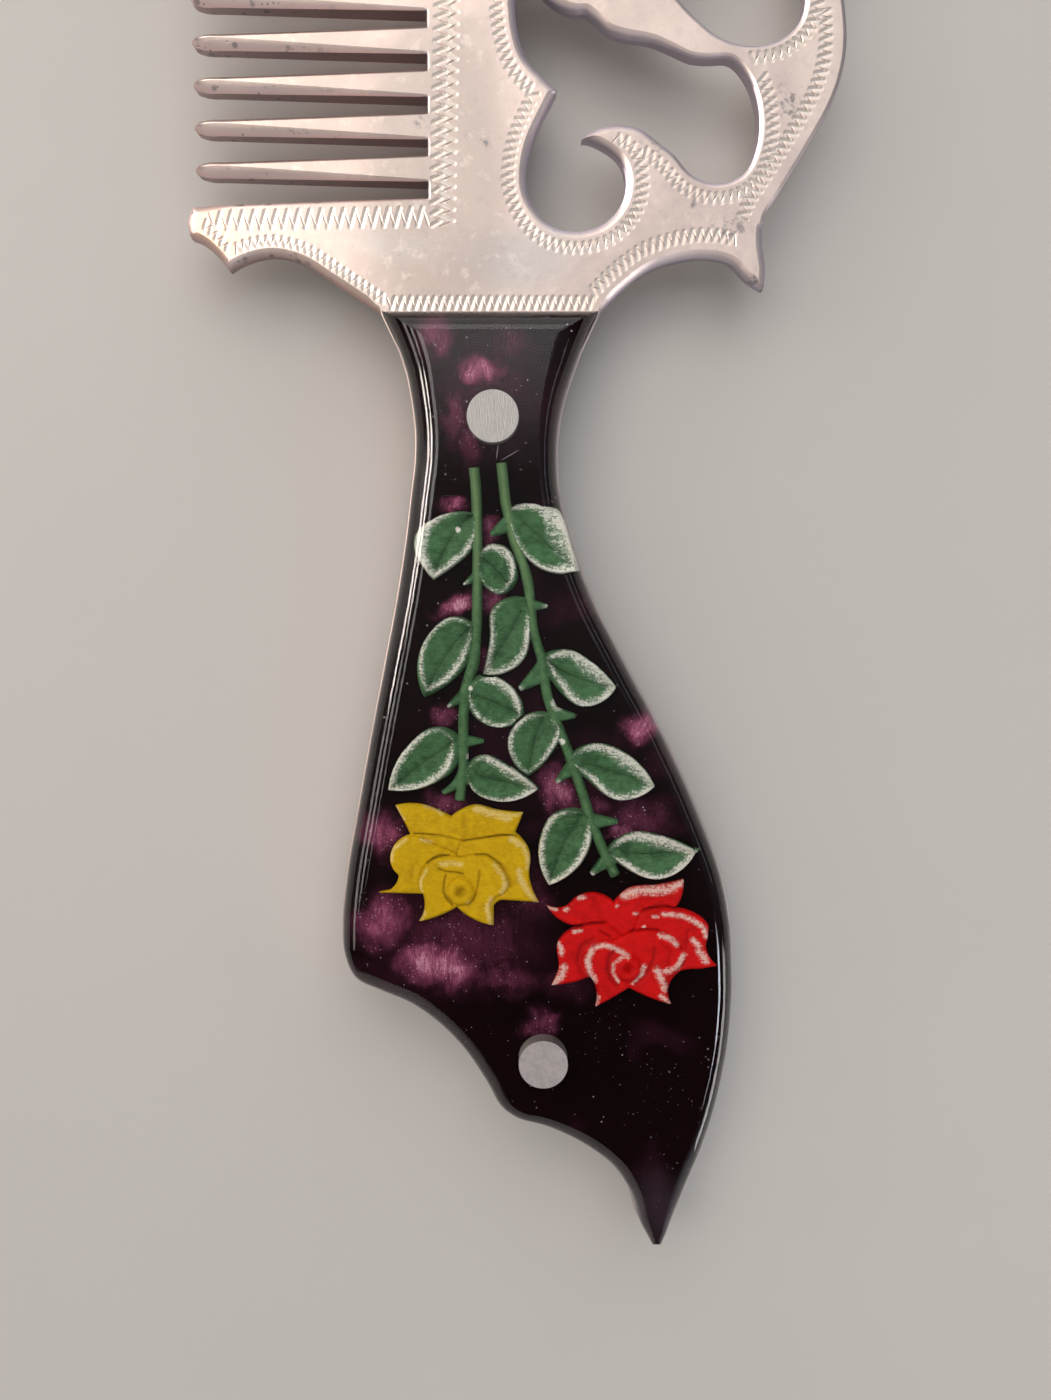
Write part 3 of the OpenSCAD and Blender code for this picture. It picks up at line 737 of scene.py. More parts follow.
def plate_mesh():
    """The plate with its bevels on both faces and the cuts in the front one, and the fields of its points."""
    shell = Shell()
    filed, sawn_and_shaded = [], []
    rims, low_rims, high_rims = [], [], []
    for edge in plate_edges + plate_bores:
        none, all_of_it = np.zeros(len(edge)), np.ones(len(edge))
        if any(edge is border for border in plate_edges):
            normals = inward(edge)
            width, depth = bevel_of(edge, normals)
            reach = np.minimum(width, room_for(edge, normals, width, dense_edges))
            rows = [(edge, depth + UPRIGHT, all_of_it, all_of_it)]
            for share in BEVEL_SHARES:
                slope = (1 - reach * share / width) ** 1.5
                rows.append((edge + normals * (reach * share)[:, None], depth * slope, slope, none))
        else:
            rows = [(edge, BORE_RIM + UPRIGHT, all_of_it, all_of_it), (edge, BORE_RIM, none, none)]
        rings = [shell.add(flat, PLATE_LOW + drop) for flat, drop, _, _ in rows[::-1]]
        rings += [shell.add(flat, PLATE_HIGH - drop) for flat, drop, _, _ in rows]
        shell.wall(rings)
        for _, _, on_bevel, on_wall in rows[::-1] + rows:
            filed.append(on_bevel)
            sawn_and_shaded.append(on_wall)
        rims.append(rows[-1][0])
        low_rims.append(rings[0])
        high_rims.append(rings[-1])
    spots, lines = np.zeros((0, 2)), []
    for cut in cuts.values():
        more_spots, more_lines = cut_lines(*cut)
        lines += [(a + len(spots), b + len(spots)) for a, b in more_lines]
        spots = np.vstack([spots, more_spots])
    fields = {kind: [np.zeros(shell.count)] for kind in CUTS} | {"filed": filed, "sawn_and_shaded": sawn_and_shaded}
    for high, ids in ((True, np.concatenate(high_rims)), (False, np.concatenate(low_rims))):
        flat, triangles, origin = filled(rims, spots, lines) if high else filled(rims)
        rim = (origin >= 0) & (origin < len(ids))
        new = flat[~rim]
        sunk = np.zeros(len(new))
        for field, values in fields.items():
            values.append(np.zeros(len(new)))
            if high and field in CUTS:
                values[-1] = cut_share(new, *cuts[field])
                sunk = np.maximum(sunk, CUTS[field][1] * values[-1])
        number = np.zeros(len(flat), int)
        number[rim] = ids[origin[rim]]
        number[~rim] = shell.add(new, (PLATE_HIGH if high else PLATE_LOW) - sunk)
        shell.face(number[triangles], high)
    return shell, {name: np.concatenate(values) for name, values in fields.items()}


plate_shell, plate_fields = plate_mesh()
plate = plate_shell.piece("filed_plate", aluminium, plate_fields)
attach(plate, "root")
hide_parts("comb_plate")


# The two scales. Each is cut from acrylic sheet, glued to the tang, rounded over with files and polished. The
# back one is purple pearl acrylic. The clear one lies on a thin pearl sheet, and its underside is carved.
BACK_LOW, BACK_HIGH = (corner.z * 1000 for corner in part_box("back_scale"))
CLEAR_LOW, CLEAR_HIGH = (corner.z * 1000 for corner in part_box("clear_scale"))
PEARL_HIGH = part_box("pearl_sheet")[1].z * 1000
# The rounded edge goes up in that many steps, and the outline round in pieces of that length. Its spans up to
# CURVED_SPAN are curved, and the others are straight
ROUND_STEPS = 14
SCALE_STEP = 0.75
CURVED_SPAN = 9.0
# The last of the heel, where the rim's points are drawn together so that it doesn't fold
HEEL_TIP = -116.0
# How far the clear scale's base sinks into the pearl sheet, and how much smaller its bores are drawn
TUCK = 0.03
TIGHTER = 0.06
BORE_SIDES = 96
# Pearl clouds under the clear scale: middle, half length and half width, turn in degrees, how bright
CLOUDS = [
    ((-5.4, -7.7), (4.2, 2.7), 8, 0.82), ((-10.6, -3.8), (3.0, 5.0), 0, 0.46),
    ((-9.0, -12.4), (2.8, 6.5), 0, 0.46), ((-1.6, -4.6), (4.4, 3.6), 0, 0.34),
    ((-6.6, -16.6), (3.0, 5.0), 0, 0.44), ((-8.8, -23.7), (2.2, 1.8), 0, 0.75),
    ((-4.6, -27.0), (2.1, 2.6), 0, 0.78), ((-8.6, -36.4), (3.8, 2.4), 40, 1.0),
    ((-4.4, -35.4), (3.0, 3.0), 0, 0.72), ((-5.6, -43.6), (2.6, 2.0), 0, 0.50),
    ((-10.6, -50.4), (3.6, 2.2), 15, 0.58), ((4.2, -60.0), (4.4, 5.2), 20, 0.86),
    ((8.4, -62.2), (4.6, 3.4), 0, 0.50), ((-10.0, -61.6), (5.2, 3.2), 0, 0.50),
    ((-18.0, -65.5), (3.8, 5.0), 30, 0.66), ((-18.4, -77.0), (5.4, 6.4), -20, 0.66),
    ((-11.6, -83.2), (8.8, 4.6), -8, 1.0), ((-2.6, -84.8), (8.0, 3.8), -4, 0.45),
    ((14.6, -52.2), (3.8, 3.4), 25, 0.85), ((14.6, -64.2), (7.0, 5.6), 0, 0.46),
    ((11.8, -65.4), (2.8, 1.4), 12, 0.80), ((2.2, -91.0), (3.6, 3.0), 0, 0.55),
    ((0.6, -74.0), (5.0, 7.5), 0, 0.36), ((5.5, -85.5), (7.0, 3.4), 0, 0.30),
    ((-8.5, -79.5), (17.0, 11.0), 0, 0.38), ((-2.0, -52.0), (11.0, 18.0), 0, 0.22),
    ((-4.0, -11.0), (12.0, 12.0), 0, 0.26), ((8.0, -58.0), (9.0, 9.0), 0, 0.26),
]
# Where dust was caught under the clear scale, and two hairs, each given as a cloud is
DUSTY = [((11.0, -93.0), (10.0, 8.0), 0, 1.0), ((19.0, -100.0), (5.5, 8.0), 0, 1.0),
         ((-6.5, -92.0), (4.0, 4.0), 0, 1.0), ((17.0, -112.0), (4.0, 8.0), 0, 1.0)]
HAIRS = [((-3.5, -17.4), (1.05, 0.07), 82, 1.0), ((-1.9, -17.8), (1.5, 0.06), 30, 1.0)]


def pearl_acrylic(name, under_clear):
    """Near-black purple acrylic with clouds of pink pearl. Under the clear scale it has no gloss itself."""
    finish = Finish(name)
    where = finish.drawn()
    flow = finish.streaks(where, 0.3, (1.0, 0.4), 0.40, 5.0, 0.65, 1.4)
    flakes = finish.streaks(where, 0.15, (4.2, 0.55), 1.5, 5.0, 0.8)
    fine = finish.noise(where, 7.0, 2.0, 0.7)
    drift = finish.noise(where, 0.10, 2.0, 0.5, 0.5).ramp(0.50, 0.75) * 0.5
    if under_clear:
        warp = finish.node("ShaderNodeTexNoise", {}, {"Vector": where, "Scale": 0.35, "Detail": 4.0}, out=1)
        warp = finish.node("ShaderNodeVectorMath", {"operation": "SCALE"}, {0: warp, "Scale": 5.0})
        bent = finish.node("ShaderNodeVectorMath", {"operation": "ADD"}, {0: where, 1: warp})
        bent = finish.moved(bent, (-2.5, -2.5, -2.5), 0.0, (1.0, 1.0, 1.0))
        drift = (drift * 0.35).larger(finish.spots(bent, CLOUDS, (0.0, 0.9)))
    haze = (drift * (0.3 + 1.4 * flow)).held()
    glow = (haze * (0.21 + 1.25 * flakes + 0.85 * (fine - 0.40)) - 0.04).held()
    tone = finish.through(glow, [
        (0.0, (0.0056, 0.0015, 0.0020)), (0.20, (0.026, 0.0060, 0.0125)), (0.50, (0.120, 0.026, 0.060)),
        (0.78, (0.300, 0.085, 0.155)), (1.0, (0.66, 0.36, 0.46))])
    # Painted glints: pale flecks painted where the pearl's flakes catch the light
    painted_flake_glints = finish.specks(where, 2.3, 0.24, 0.6) * fine.ramp(0.46, 0.60) * glow.ramp(0.10, 0.5)
    tone = finish.mix(painted_flake_glints * 0.8, tone, (0.80, 0.50, 0.62))
    dots = finish.specks(where, 0.8, 0.085, 0.24).larger(finish.specks(where, 1.7, 0.11, 0.14))
    caught = finish.spots(where, DUSTY).ramp(0.05, 0.7) * fine.ramp(0.40, 0.6)
    dust = dots.larger(finish.specks(where, 2.2, 0.14, 0.30) * caught)
    hairs = finish.spots(where, HAIRS, (0.0, 0.4))
    tone = finish.mix(dust.larger(hairs * 0.6) * 0.90, tone, (0.60, 0.54, 0.60))
    worn = finish.spot(where, (17.6, -116.0), (5.0, 8.0), 10.0).ramp(0.05, 0.9) * (0.35 + 0.9 * fine)
    tone = finish.mix((worn * 0.15).held(), tone, (0.15, 0.115, 0.16))
    return finish.done(finish.surface({
        "Base Color": tone, "Metallic": (0.6 * glow).held(), "Roughness": 0.5 - 0.15 * glow,
        "Specular IOR Level": 0.0 if under_clear else 0.5, "Coat Weight": 0.0 if under_clear else 1.0,
        "Coat Roughness": 0.06, "Normal": finish.bump(flakes * glow, 0.14)}))


def scale_rows(base_height, face_height):
    """The rounded edge of a scale in rows from its base to its flat face, each with its points and height.
    The outline and the flat face's rim are those of the back scale."""
    base = cad_outlines("back_scale", BACK_HIGH)[0]
    rim = cad_outlines("back_scale", BACK_LOW)[0]
    neck_corner = np.lexsort((base[:, 0], base[:, 1] < -1.0))[0]
    base = np.roll(base, -neck_corner, 0)
    misfit = [np.sum((np.roll(rim, -k, 0) - base) ** 2) for k in range(len(rim))]
    rim = np.roll(rim, -int(np.argmin(misfit)), 0)
    for _ in range(8):
        folded = np.sum((np.roll(rim, -1, 0) - rim) * (np.roll(base, -1, 0) - base), 1) < 0
        folded &= base[:, 1] < HEEL_TIP
        middle = (rim + np.roll(rim, -1, 0)) / 2
        rim = np.where(np.roll(folded, 1)[:, None] & ~folded[:, None], np.roll(middle, 1, 0), rim)
        rim = np.where(folded[:, None], middle, rim)
    sharp, counts = sharp_corners(base, 40), pieces_of(base, SCALE_STEP)
    base, rim = (smoothed(outline, sharp, counts, CURVED_SPAN) for outline in (base, rim))
    rows = []
    for turn in np.linspace(0, math.pi / 2, ROUND_STEPS + 1):
        inwards = 1 - math.cos(turn)
        rise = 0.92 * math.sqrt(1 - (1 - inwards) ** 2.2) + 0.08 * inwards
        rows.append((base + (rim - base) * inwards, base_height + (face_height - base_height) * rise))
    return rows


def bore_rings(tighter=0.0):
    """Round outlines for the rivets' bores, clockwise, with the material on their left."""
    turns = -2 * math.pi * np.arange(BORE_SIDES) / BORE_SIDES
    rings = []
    for outline in cad_outlines("back_scale", BACK_HIGH)[1:]:
        middle = (outline.min(0) + outline.max(0)) / 2
        radius = (outline.max(0) - outline.min(0)).max() / 2 - tighter
        rings.append(middle + radius * np.column_stack([np.cos(turns), np.sin(turns)]))
    return rings


def scale_shell(rows, bores, tuck=0.0):
    """A scale from its rows, which go up or down from its base. Tuck adds a row that sinks the base into the
    layer below, where the glue joins them."""
    upright = rows[-1][1] > rows[0][1]
    if tuck:
        base = rows[0][0]
        rows = [(base + inward(base) * tuck, PEARL_HIGH - tuck), *rows]
    shell = Shell()
    rings = [shell.add(flat, height) for flat, height in rows]
    shell.wall(rings if upright else rings[::-1])
    heights = sorted([rows[0][1], rows[-1][1]])
    tubes = [[shell.add(bore, height) for height in heights] for bore in bores]
    for tube in tubes:
        shell.wall(tube)
    for k, upward in ((0, not upright), (-1, upright)):
        numbers = np.concatenate([rings[k]] + [tube[upward] for tube in tubes])
        _, triangles, origin = filled([rows[k][0], *bores])
        shell.face(numbers[origin][triangles], upward)
    return shell


def clear_acrylic():
    """Polished clear acrylic, a little uneven from hand work. Light goes straight on to what is below."""
    finish = Finish("clear_acrylic")
    where = finish.drawn()
    waves = finish.noise(where, 0.35, 2.0, 0.5)
    scratch = finish.streaks(where, 1.1, (0.12, 5.0), 1.6, 2.0, 0.6).ramp(0.66, 0.72)
    sanded = finish.streaks(where, 0.1, (1.0, 3.0), 2.5, 2.0, 0.6)
    relief = 0.10 * waves + 0.012 * scratch + 0.020 * sanded
    glass = finish.surface({
        "Base Color": (0.985, 0.98, 0.985, 1.0), "Roughness": 0.03, "IOR": 1.49, "Transmission Weight": 1.0,
        "Normal": finish.bump(relief, 0.10)})
    passed = finish.node("ShaderNodeBsdfTransparent", {}, {"Color": (0.94, 0.93, 0.94, 1.0)})
    shadow = finish.node("ShaderNodeLightPath", {}, {}, out=1)
    return finish.done(finish.node("ShaderNodeMixShader", {}, {0: shadow, 1: glass, 2: passed}))


back_shell = scale_shell(scale_rows(BACK_HIGH, BACK_LOW), bore_rings())
back = back_shell.piece("back_grip", pearl_acrylic("pearl_acrylic_polished", False))
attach(back, "root")
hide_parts("back_scale")

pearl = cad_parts["pearl_sheet"]
pearl.data.materials.clear()
pearl.data.materials.append(pearl_acrylic("pearl_acrylic_under_clear", True))

clear_shell = scale_shell(scale_rows(CLEAR_LOW, CLEAR_HIGH), bore_rings(TIGHTER), TUCK)
clear_grip = clear_shell.piece("clear_grip", clear_acrylic())
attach(clear_grip, "root")
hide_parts("clear_scale")


# The two sprays of leaves. Each is a hollow carved into the underside of the clear scale, filled with green
# paint. The paint is thin at the leaves' edges, where white filler shows through it in streaks and specks.
FILL_LOW, FILL_HIGH = (corner.z * 1000 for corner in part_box("left_spray"))
# The length of the outline's pieces, and the spacing of the points that carry the carved face
FILL_STEP = 0.22
LEAF_STEP = 0.13
STEM_HALF = 0.65
# Heights over the filling's back: a leaf's midrib and its ridge, a stub's and a stem's foot, and the ground
RIB_HIGH, RIDGE_HIGH = 0.92, 1.72
STUB_FOOT, STEM_FOOT = 0.95, 0.85
GROUND_HIGH = 0.8
# Leaves: base, left edge twice, tip and right edge twice. Each has x, y, how far the white spreads there, and
# how far the leaf's ridge runs inside its edge
LEFT_LEAVES = [
    [(-6.2, -25.0, 0.2, 0.3), (-8.9, -24.8, 0.5, 0.2), (-12.3, -26.4, 1.3, 0.1), (-11.5, -33.2, 1.1, 0.3),
     (-9.2, -31.7, 0.9, 0.3), (-6.5, -29.2, 0.8, 0.5)],
    [(-5.9, -30.4, 0.4, 0.3), (-4.8, -28.9, 0.8, 0.3), (-2.3, -29.2, 1.2, 0.4), (-1.6, -34.3, 0.6, 0.8),
     (-3.2, -35.1, 0.7, 0.3), (-5.3, -33.8, 0.5, 0.2)],
    [(-6.2, -38.8, 0.4, 0.7), (-8.9, -37.8, 0.7, 0.1), (-12.8, -41.0, 0.8, 0.1), (-12.8, -48.0, 0.6, 0.9),
     (-9.6, -46.2, 0.9, 0.6), (-6.7, -42.8, 0.8, 1.1)],
    [(-7.7, -47.4, 0.5, 0.8), (-6.0, -45.2, 0.4, 0.6), (-2.2, -46.2, 1.7, 0.1), (-0.1, -50.5, 0.5, 0.7),
     (-3.2, -51.9, 0.8, 0.2), (-6.6, -50.4, 0.7, 0.5)],
    [(-8.2, -53.0, 0.4, 1.2), (-11.0, -51.8, 0.6, 0.2), (-15.3, -54.6, 1.1, 0.1), (-17.5, -59.9, 1.0, 0.2),
     (-12.2, -59.3, 1.0, 0.3), (-8.5, -56.4, 0.9, 1.2)],
    [(-7.8, -57.2, 0.3, 0.5), (-5.8, -55.4, 0.7, 0.3), (-2.0, -56.8, 1.4, 0.3), (1.7, -59.7, 1.3, 0.2),
     (-3.2, -61.4, 0.8, 0.1), (-6.8, -59.9, 0.6, 0.2)],
]
RIGHT_LEAVES = [
    [(-2.3, -24.4, 0.5, 0.4), (1.8, -24.0, 1.2, 0.1), (4.8, -27.0, 2.9, 0.1), (6.0, -32.4, 1.9, 0.2),
     (1.8, -31.8, 0.8, 0.1), (-1.2, -28.8, 0.7, 0.3)],
    [(0.2, -35.4, 0.1, 0.4), (0.7, -39.6, 0.9, 0.3), (-0.3, -43.4, 1.1, 0.3), (-5.4, -45.1, 0.8, 0.3),
     (-4.5, -40.6, 0.8, 0.3), (-4.2, -36.8, 0.6, 0.3)],
    [(1.9, -42.8, 0.4, 0.8), (5.6, -42.0, 1.2, 0.2), (8.3, -43.5, 2.4, 0.1), (11.5, -46.7, 1.3, 0.2),
     (7.2, -49.2, 1.4, 0.1), (3.9, -46.8, 0.9, 0.9)],
    [(3.2, -50.0, 0.3, 0.6), (0.0, -50.3, 0.8, 0.2), (-2.2, -53.2, 0.9, 0.1), (0.4, -58.1, 0.5, 0.5),
     (3.4, -55.1, 0.8, 0.4), (4.7, -51.6, 0.8, 0.6)],
    [(5.0, -56.0, 0.3, 0.5), (8.6, -53.9, 0.9, 0.2), (12.7, -55.1, 2.3, 0.1), (16.5, -59.4, 1.3, 0.2),
     (11.8, -61.2, 1.2, 0.1), (7.6, -58.4, 0.7, 0.7)],
    [(8.0, -62.7, 0.2, 0.4), (3.6, -63.0, 0.8, 0.2), (1.8, -66.4, 1.1, 0.1), (3.0, -72.3, 0.9, 0.2),
     (7.4, -69.1, 1.0, 0.4), (8.6, -65.8, 0.9, 0.5)],
    [(10.2, -67.8, 0.3, 0.4), (13.6, -65.4, 1.2, 0.2), (17.2, -65.8, 2.1, 0.1), (21.9, -67.8, 1.3, 0.2),
     (17.2, -71.5, 1.0, 0.1), (12.4, -69.8, 0.9, 0.5)],
]
# Nicks, where a bit of filler shows, and two painted silvery glints of air under the paint, at (4.1, -48.8)
# and (1.3, -48.4): middle and radius
NICKS_AND_GLINTS = [((-8.4, -27.0), 0.32), ((-7.2, -55.5), 0.35), ((4.6, -53.6), 0.38), ((4.1, -48.8), 0.80),
         ((1.3, -48.4), 0.60), ((22.0, -67.0), 0.45), ((-6.9, -46.8), 0.30)]
# Pointed stubs: root, tip, width at the root, and how far the white comes back from the tip
LEFT_STUBS = [
    ((-5.6, -32.4), (-7.9, -33.9), 1.6, 1.0), ((-7.2, -47.4), (-10.0, -49.3), 2.0, 0.8),
    ((-8.0, -53.6), (-5.1, -53.6), 1.9, 0.2), ((-7.6, -58.0), (-10.7, -60.4), 2.6, 0.2),
]
RIGHT_STUBS = [
    ((-1.6, -26.0), (-4.5, -27.7), 2.6, 0.1), ((0.2, -36.4), (2.9, -36.5), 2.0, 0.8),
    ((2.2, -44.8), (-0.9, -47.1), 2.8, 0.8), ((3.2, -50.2), (6.5, -50.4), 2.4, 0.3),
    ((6.2, -56.8), (3.8, -59.0), 2.2, 0.8), ((8.0, -64.0), (12.0, -64.0), 2.4, 0.4),
    ((11.2, -68.4), (8.3, -71.0), 2.4, 0.8),
]
LEFT_STEM = [(-6.4, -19.4), (-6.1, -23.4), (-6.0, -30.0), (-6.1, -38.2), (-6.4, -43.0), (-7.7, -47.2),
             (-7.9, -52.0), (-7.9, -56.8), (-8.4, -61.2)]
RIGHT_STEM = [(-3.0, -18.8), (-2.5, -23.4), (-1.5, -28.0), (-0.2, -31.6), (0.5, -34.8), (0.9, -39.2),
              (2.0, -42.8), (2.6, -47.0), (3.9, -51.1), (5.6, -55.5), (7.3, -60.4), (8.3, -63.8),
              (10.0, -67.8), (11.5, -71.0)]


def line_of(points):
    """An open line's pieces, as starts and ends."""
    points = np.array(points, float)
    return points[:-1], points[1:]


def fade(away, width):
    """1 on a line, falling to 0 at that distance from it."""
    return np.clip(1 - away / np.maximum(width, 1e-6), 0, 1)


def leaf_face(points, leaf):
    """Height, white and crease of a leaf, dished from its ridge to its midrib. The crease is painted shade in
    the dish. The height outside is -1.
    """
    knots = np.array(leaf)
    pieces = 8
    edge = smoothed(knots[:, :2], np.array([True, False, False] * 2), [pieces] * 6, 20.0)
    within = inside(points, [edge])
    away, index, share = nearest(points, *border_of([edge]))
    base, tip, belly = knots[0, :2], knots[3, :2], knots[[1, 2, 4, 5], :2].mean(0)
    t = np.linspace(0, 1, 12)[:, None]
    rib = base * (1 - t) ** 2 + (2 * belly - (base + tip) / 2) * 2 * t * (1 - t) + tip * t**2
    off = nearest(points, *line_of(rib))[0]
    knot = (index + share) / pieces
    spread, inset = (np.interp(knot, np.arange(7), np.append(knots[:, k], knots[0, k])) for k in (2, 3))
    past = away - inset
    across = off / np.maximum(off + np.maximum(past, 0), 1e-6)
    dish = RIB_HIGH + (RIDGE_HIGH - RIB_HIGH) * across**1.25 - 0.14 * fade(off, 0.3) ** 2
    flank = RIDGE_HIGH - 0.70 * np.clip(-past / inset, 0, 1) ** 1.6
    height = np.where(past > 0, dish, flank) - 0.30 * fade(away, 0.30) ** 2
    reach = np.where(past > 0, spread, 0.30 + 0.3 * spread)
    white = fade(abs(past), reach) * np.clip((spread - 0.25) / 0.65, 0, 1)
    # Painted shade: a dark line along the midrib and a soft one over the valley beside it
    crease = np.maximum(fade(off, 0.13) * 0.8, fade(off, 0.9) * 0.30)
    return np.where(within, height, -1), white, crease


def stub_face(points, stub):
    """Height, white and crease of a stub, which is rounded and pointed like a thorn."""
    root, tip, width, white = stub
    away, _, share = nearest(points, *line_of([root, tip]))
    half = np.maximum(width / 2 * (1 - 0.8 * share), 0.05)
    height = STUB_FOOT + 0.60 * np.sqrt(np.clip(1 - (away / half) ** 2, 0, 1))
    return np.where(away < half, height, -1), fade(length(points - tip), white * 1.4), np.zeros(len(points))


def stem_face(points, stem):
    """Height, white and crease of a stem, which is half round."""
    away = nearest(points, *line_of(stem))[0]
    height = STEM_FOOT + 0.85 * np.sqrt(np.clip(1 - (away / STEM_HALF) ** 2, 0, 1))
    none = np.zeros(len(points))
    return np.where(away < STEM_HALF, height, -1), none, none


def spray_face(points, away, leaves, stubs, stem):
    """The face of a whole spray: at each point the part that stands highest. The stem is rubbed paler."""
    parts = [leaf_face(points, leaf) for leaf in leaves] + [stub_face(points, stub) for stub in stubs]
    parts = np.array(parts + [stem_face(points, stem)])
    top = parts[:, 0].argmax(0)
    height, white, crease = parts[top, :, np.arange(len(points))].T
    height = np.maximum(height, GROUND_HIGH) - 0.2 * fade(away, 0.2)
    for at, radius in NICKS_AND_GLINTS:
        white = np.maximum(white, 2.2 * fade(length(points - at), radius * 1.4))
    rubbed = (top == len(parts) - 1) * fade(nearest(points, *line_of(stem))[0], 1.5 * STEM_HALF)
    rubbed = rubbed * np.clip((points[:, 1] + 46) / 18, 0.2, 1)
    return height, {"white": np.clip(white, 0, 1.5), "crease": crease, "rubbed": rubbed}


def painted(name, node, step, face, design, material):
    """A painted filling with a carved face, on the CAD node's outline and flat back. face takes points, how
    far they are from the outline, and the design, and gives their heights over the back and their fields."""
    outlines = curved(cad_outlines(node, FILL_HIGH), FILL_STEP, corner=40, needle=150)
    low, high = outlines[0].min(0), outlines[0].max(0)
    across, up = np.meshgrid(np.arange(low[0], high[0], step), np.arange(low[1], high[1], step))
    spots = np.column_stack([across.ravel(), up.ravel()])
    spots = spots[inside(spots, outlines)]
    spots = spots[nearest(spots, *border_of(outlines))[0] > 0.6 * step]
    flat, triangles, _ = filled(outlines, spots)
    height, fields = face(flat, nearest(flat, *border_of(outlines))[0], *design)
    shell = Shell()
    shell.add(flat, FILL_LOW + np.clip(height, 0.1, FILL_HIGH - FILL_LOW - 0.03))
    shell.face(triangles, True, smooth=True)
    # The face's points begin with those of the outlines, in the same order as the back's
    for outline in outlines:
        back = shell.add(outline, FILL_LOW)
        shell.wall([back, back - len(flat)])
    _, triangles, origin = filled(outlines)
    shell.face(len(flat) + origin[triangles], False)
    none = np.zeros(shell.count - len(flat))
    fields = {key: np.append(value, none) for key, value in fields.items()}
    piece = shell.piece(name, material, fields, crease=60)
    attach(piece, "root")
    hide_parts(node)
    return piece


def paint(name, deep, light, rubbed_tint, white, painted_shade_and_speck_tint, angle, cover):
    """Brushed paint seen through the clear scale, patchy in its tone, with white where it is worn or thin and
    painted shade in its creases. The white comes in streaks at that angle, and cover is how strong it is."""
    finish = Finish(name)
    where = finish.drawn()
    patches = finish.noise(where, 0.9, 4.0, 0.6, 0.4)
    brushed = finish.streaks(where, 0.5, (0.8, 3.0), 1.6, 3.0, 0.6)
    mottle = finish.noise(where, 3.2, 5.0, 0.8)
    broad = finish.noise(where, 0.22, 2.0, 0.5)
    streak = finish.streaks(where, angle, (0.7, 4.5), 1.1, 4.0, 0.7)
    bare = finish.field("white")
    worn = bare * (0.42 + 1.1 * patches) + 3.4 * (mottle - 0.5) * bare.ramp(0.0, 0.2)
    worn = worn + 1.6 * (streak - 0.5) * bare.ramp(0.0, 0.3)
    tone = finish.mix((patches * 0.6 + brushed * 0.4).ramp(0.38, 0.62), deep, light)
    tone = finish.layered(tone, [
        (broad.ramp(0.60, 0.42) * 0.35, light),
        (finish.field("rubbed") * (0.5 + 0.7 * patches), rubbed_tint),
        (finish.specks(where, 1.1, 0.10, 0.3) * 0.4, painted_shade_and_speck_tint),
        # Painted shade where the crease field is: in creases, cuts and the roses' hearts
        (finish.field("crease") * 0.85, painted_shade_and_speck_tint),
        (bare.ramp(0.05, 0.7) * 0.15 * cover, white),
        (worn.ramp(0.36, 0.84) * cover, white)])
    return finish.done(finish.surface({
        "Base Color": tone, "Roughness": 0.6, "Specular IOR Level": 0.06,
        "Normal": finish.bump(mottle + brushed, 0.05)}))


leaf_paint = paint("green_leaf_paint", (0.035, 0.104, 0.041), (0.082, 0.200, 0.086), (0.17, 0.285, 0.122),
                   (0.82, 0.82, 0.74), (0.010, 0.030, 0.012), 0.9, 0.95)
left_leaves = painted("left_leaves", "left_spray", LEAF_STEP, spray_face,
                      (LEFT_LEAVES, LEFT_STUBS, LEFT_STEM), leaf_paint)
right_leaves = painted("right_leaves", "right_spray", LEAF_STEP, spray_face,
                       (RIGHT_LEAVES, RIGHT_STUBS, RIGHT_STEM), leaf_paint)


# The two roses. They are carved and filled as the leaves are, in layers: back petals, side petals, a cup and
# a heart. Dark lines are cuts between the petals, darkened with painted shade where petals overlap, and the
# white is filler that shows at the petals' rims.
ROSE_STEP = 0.11
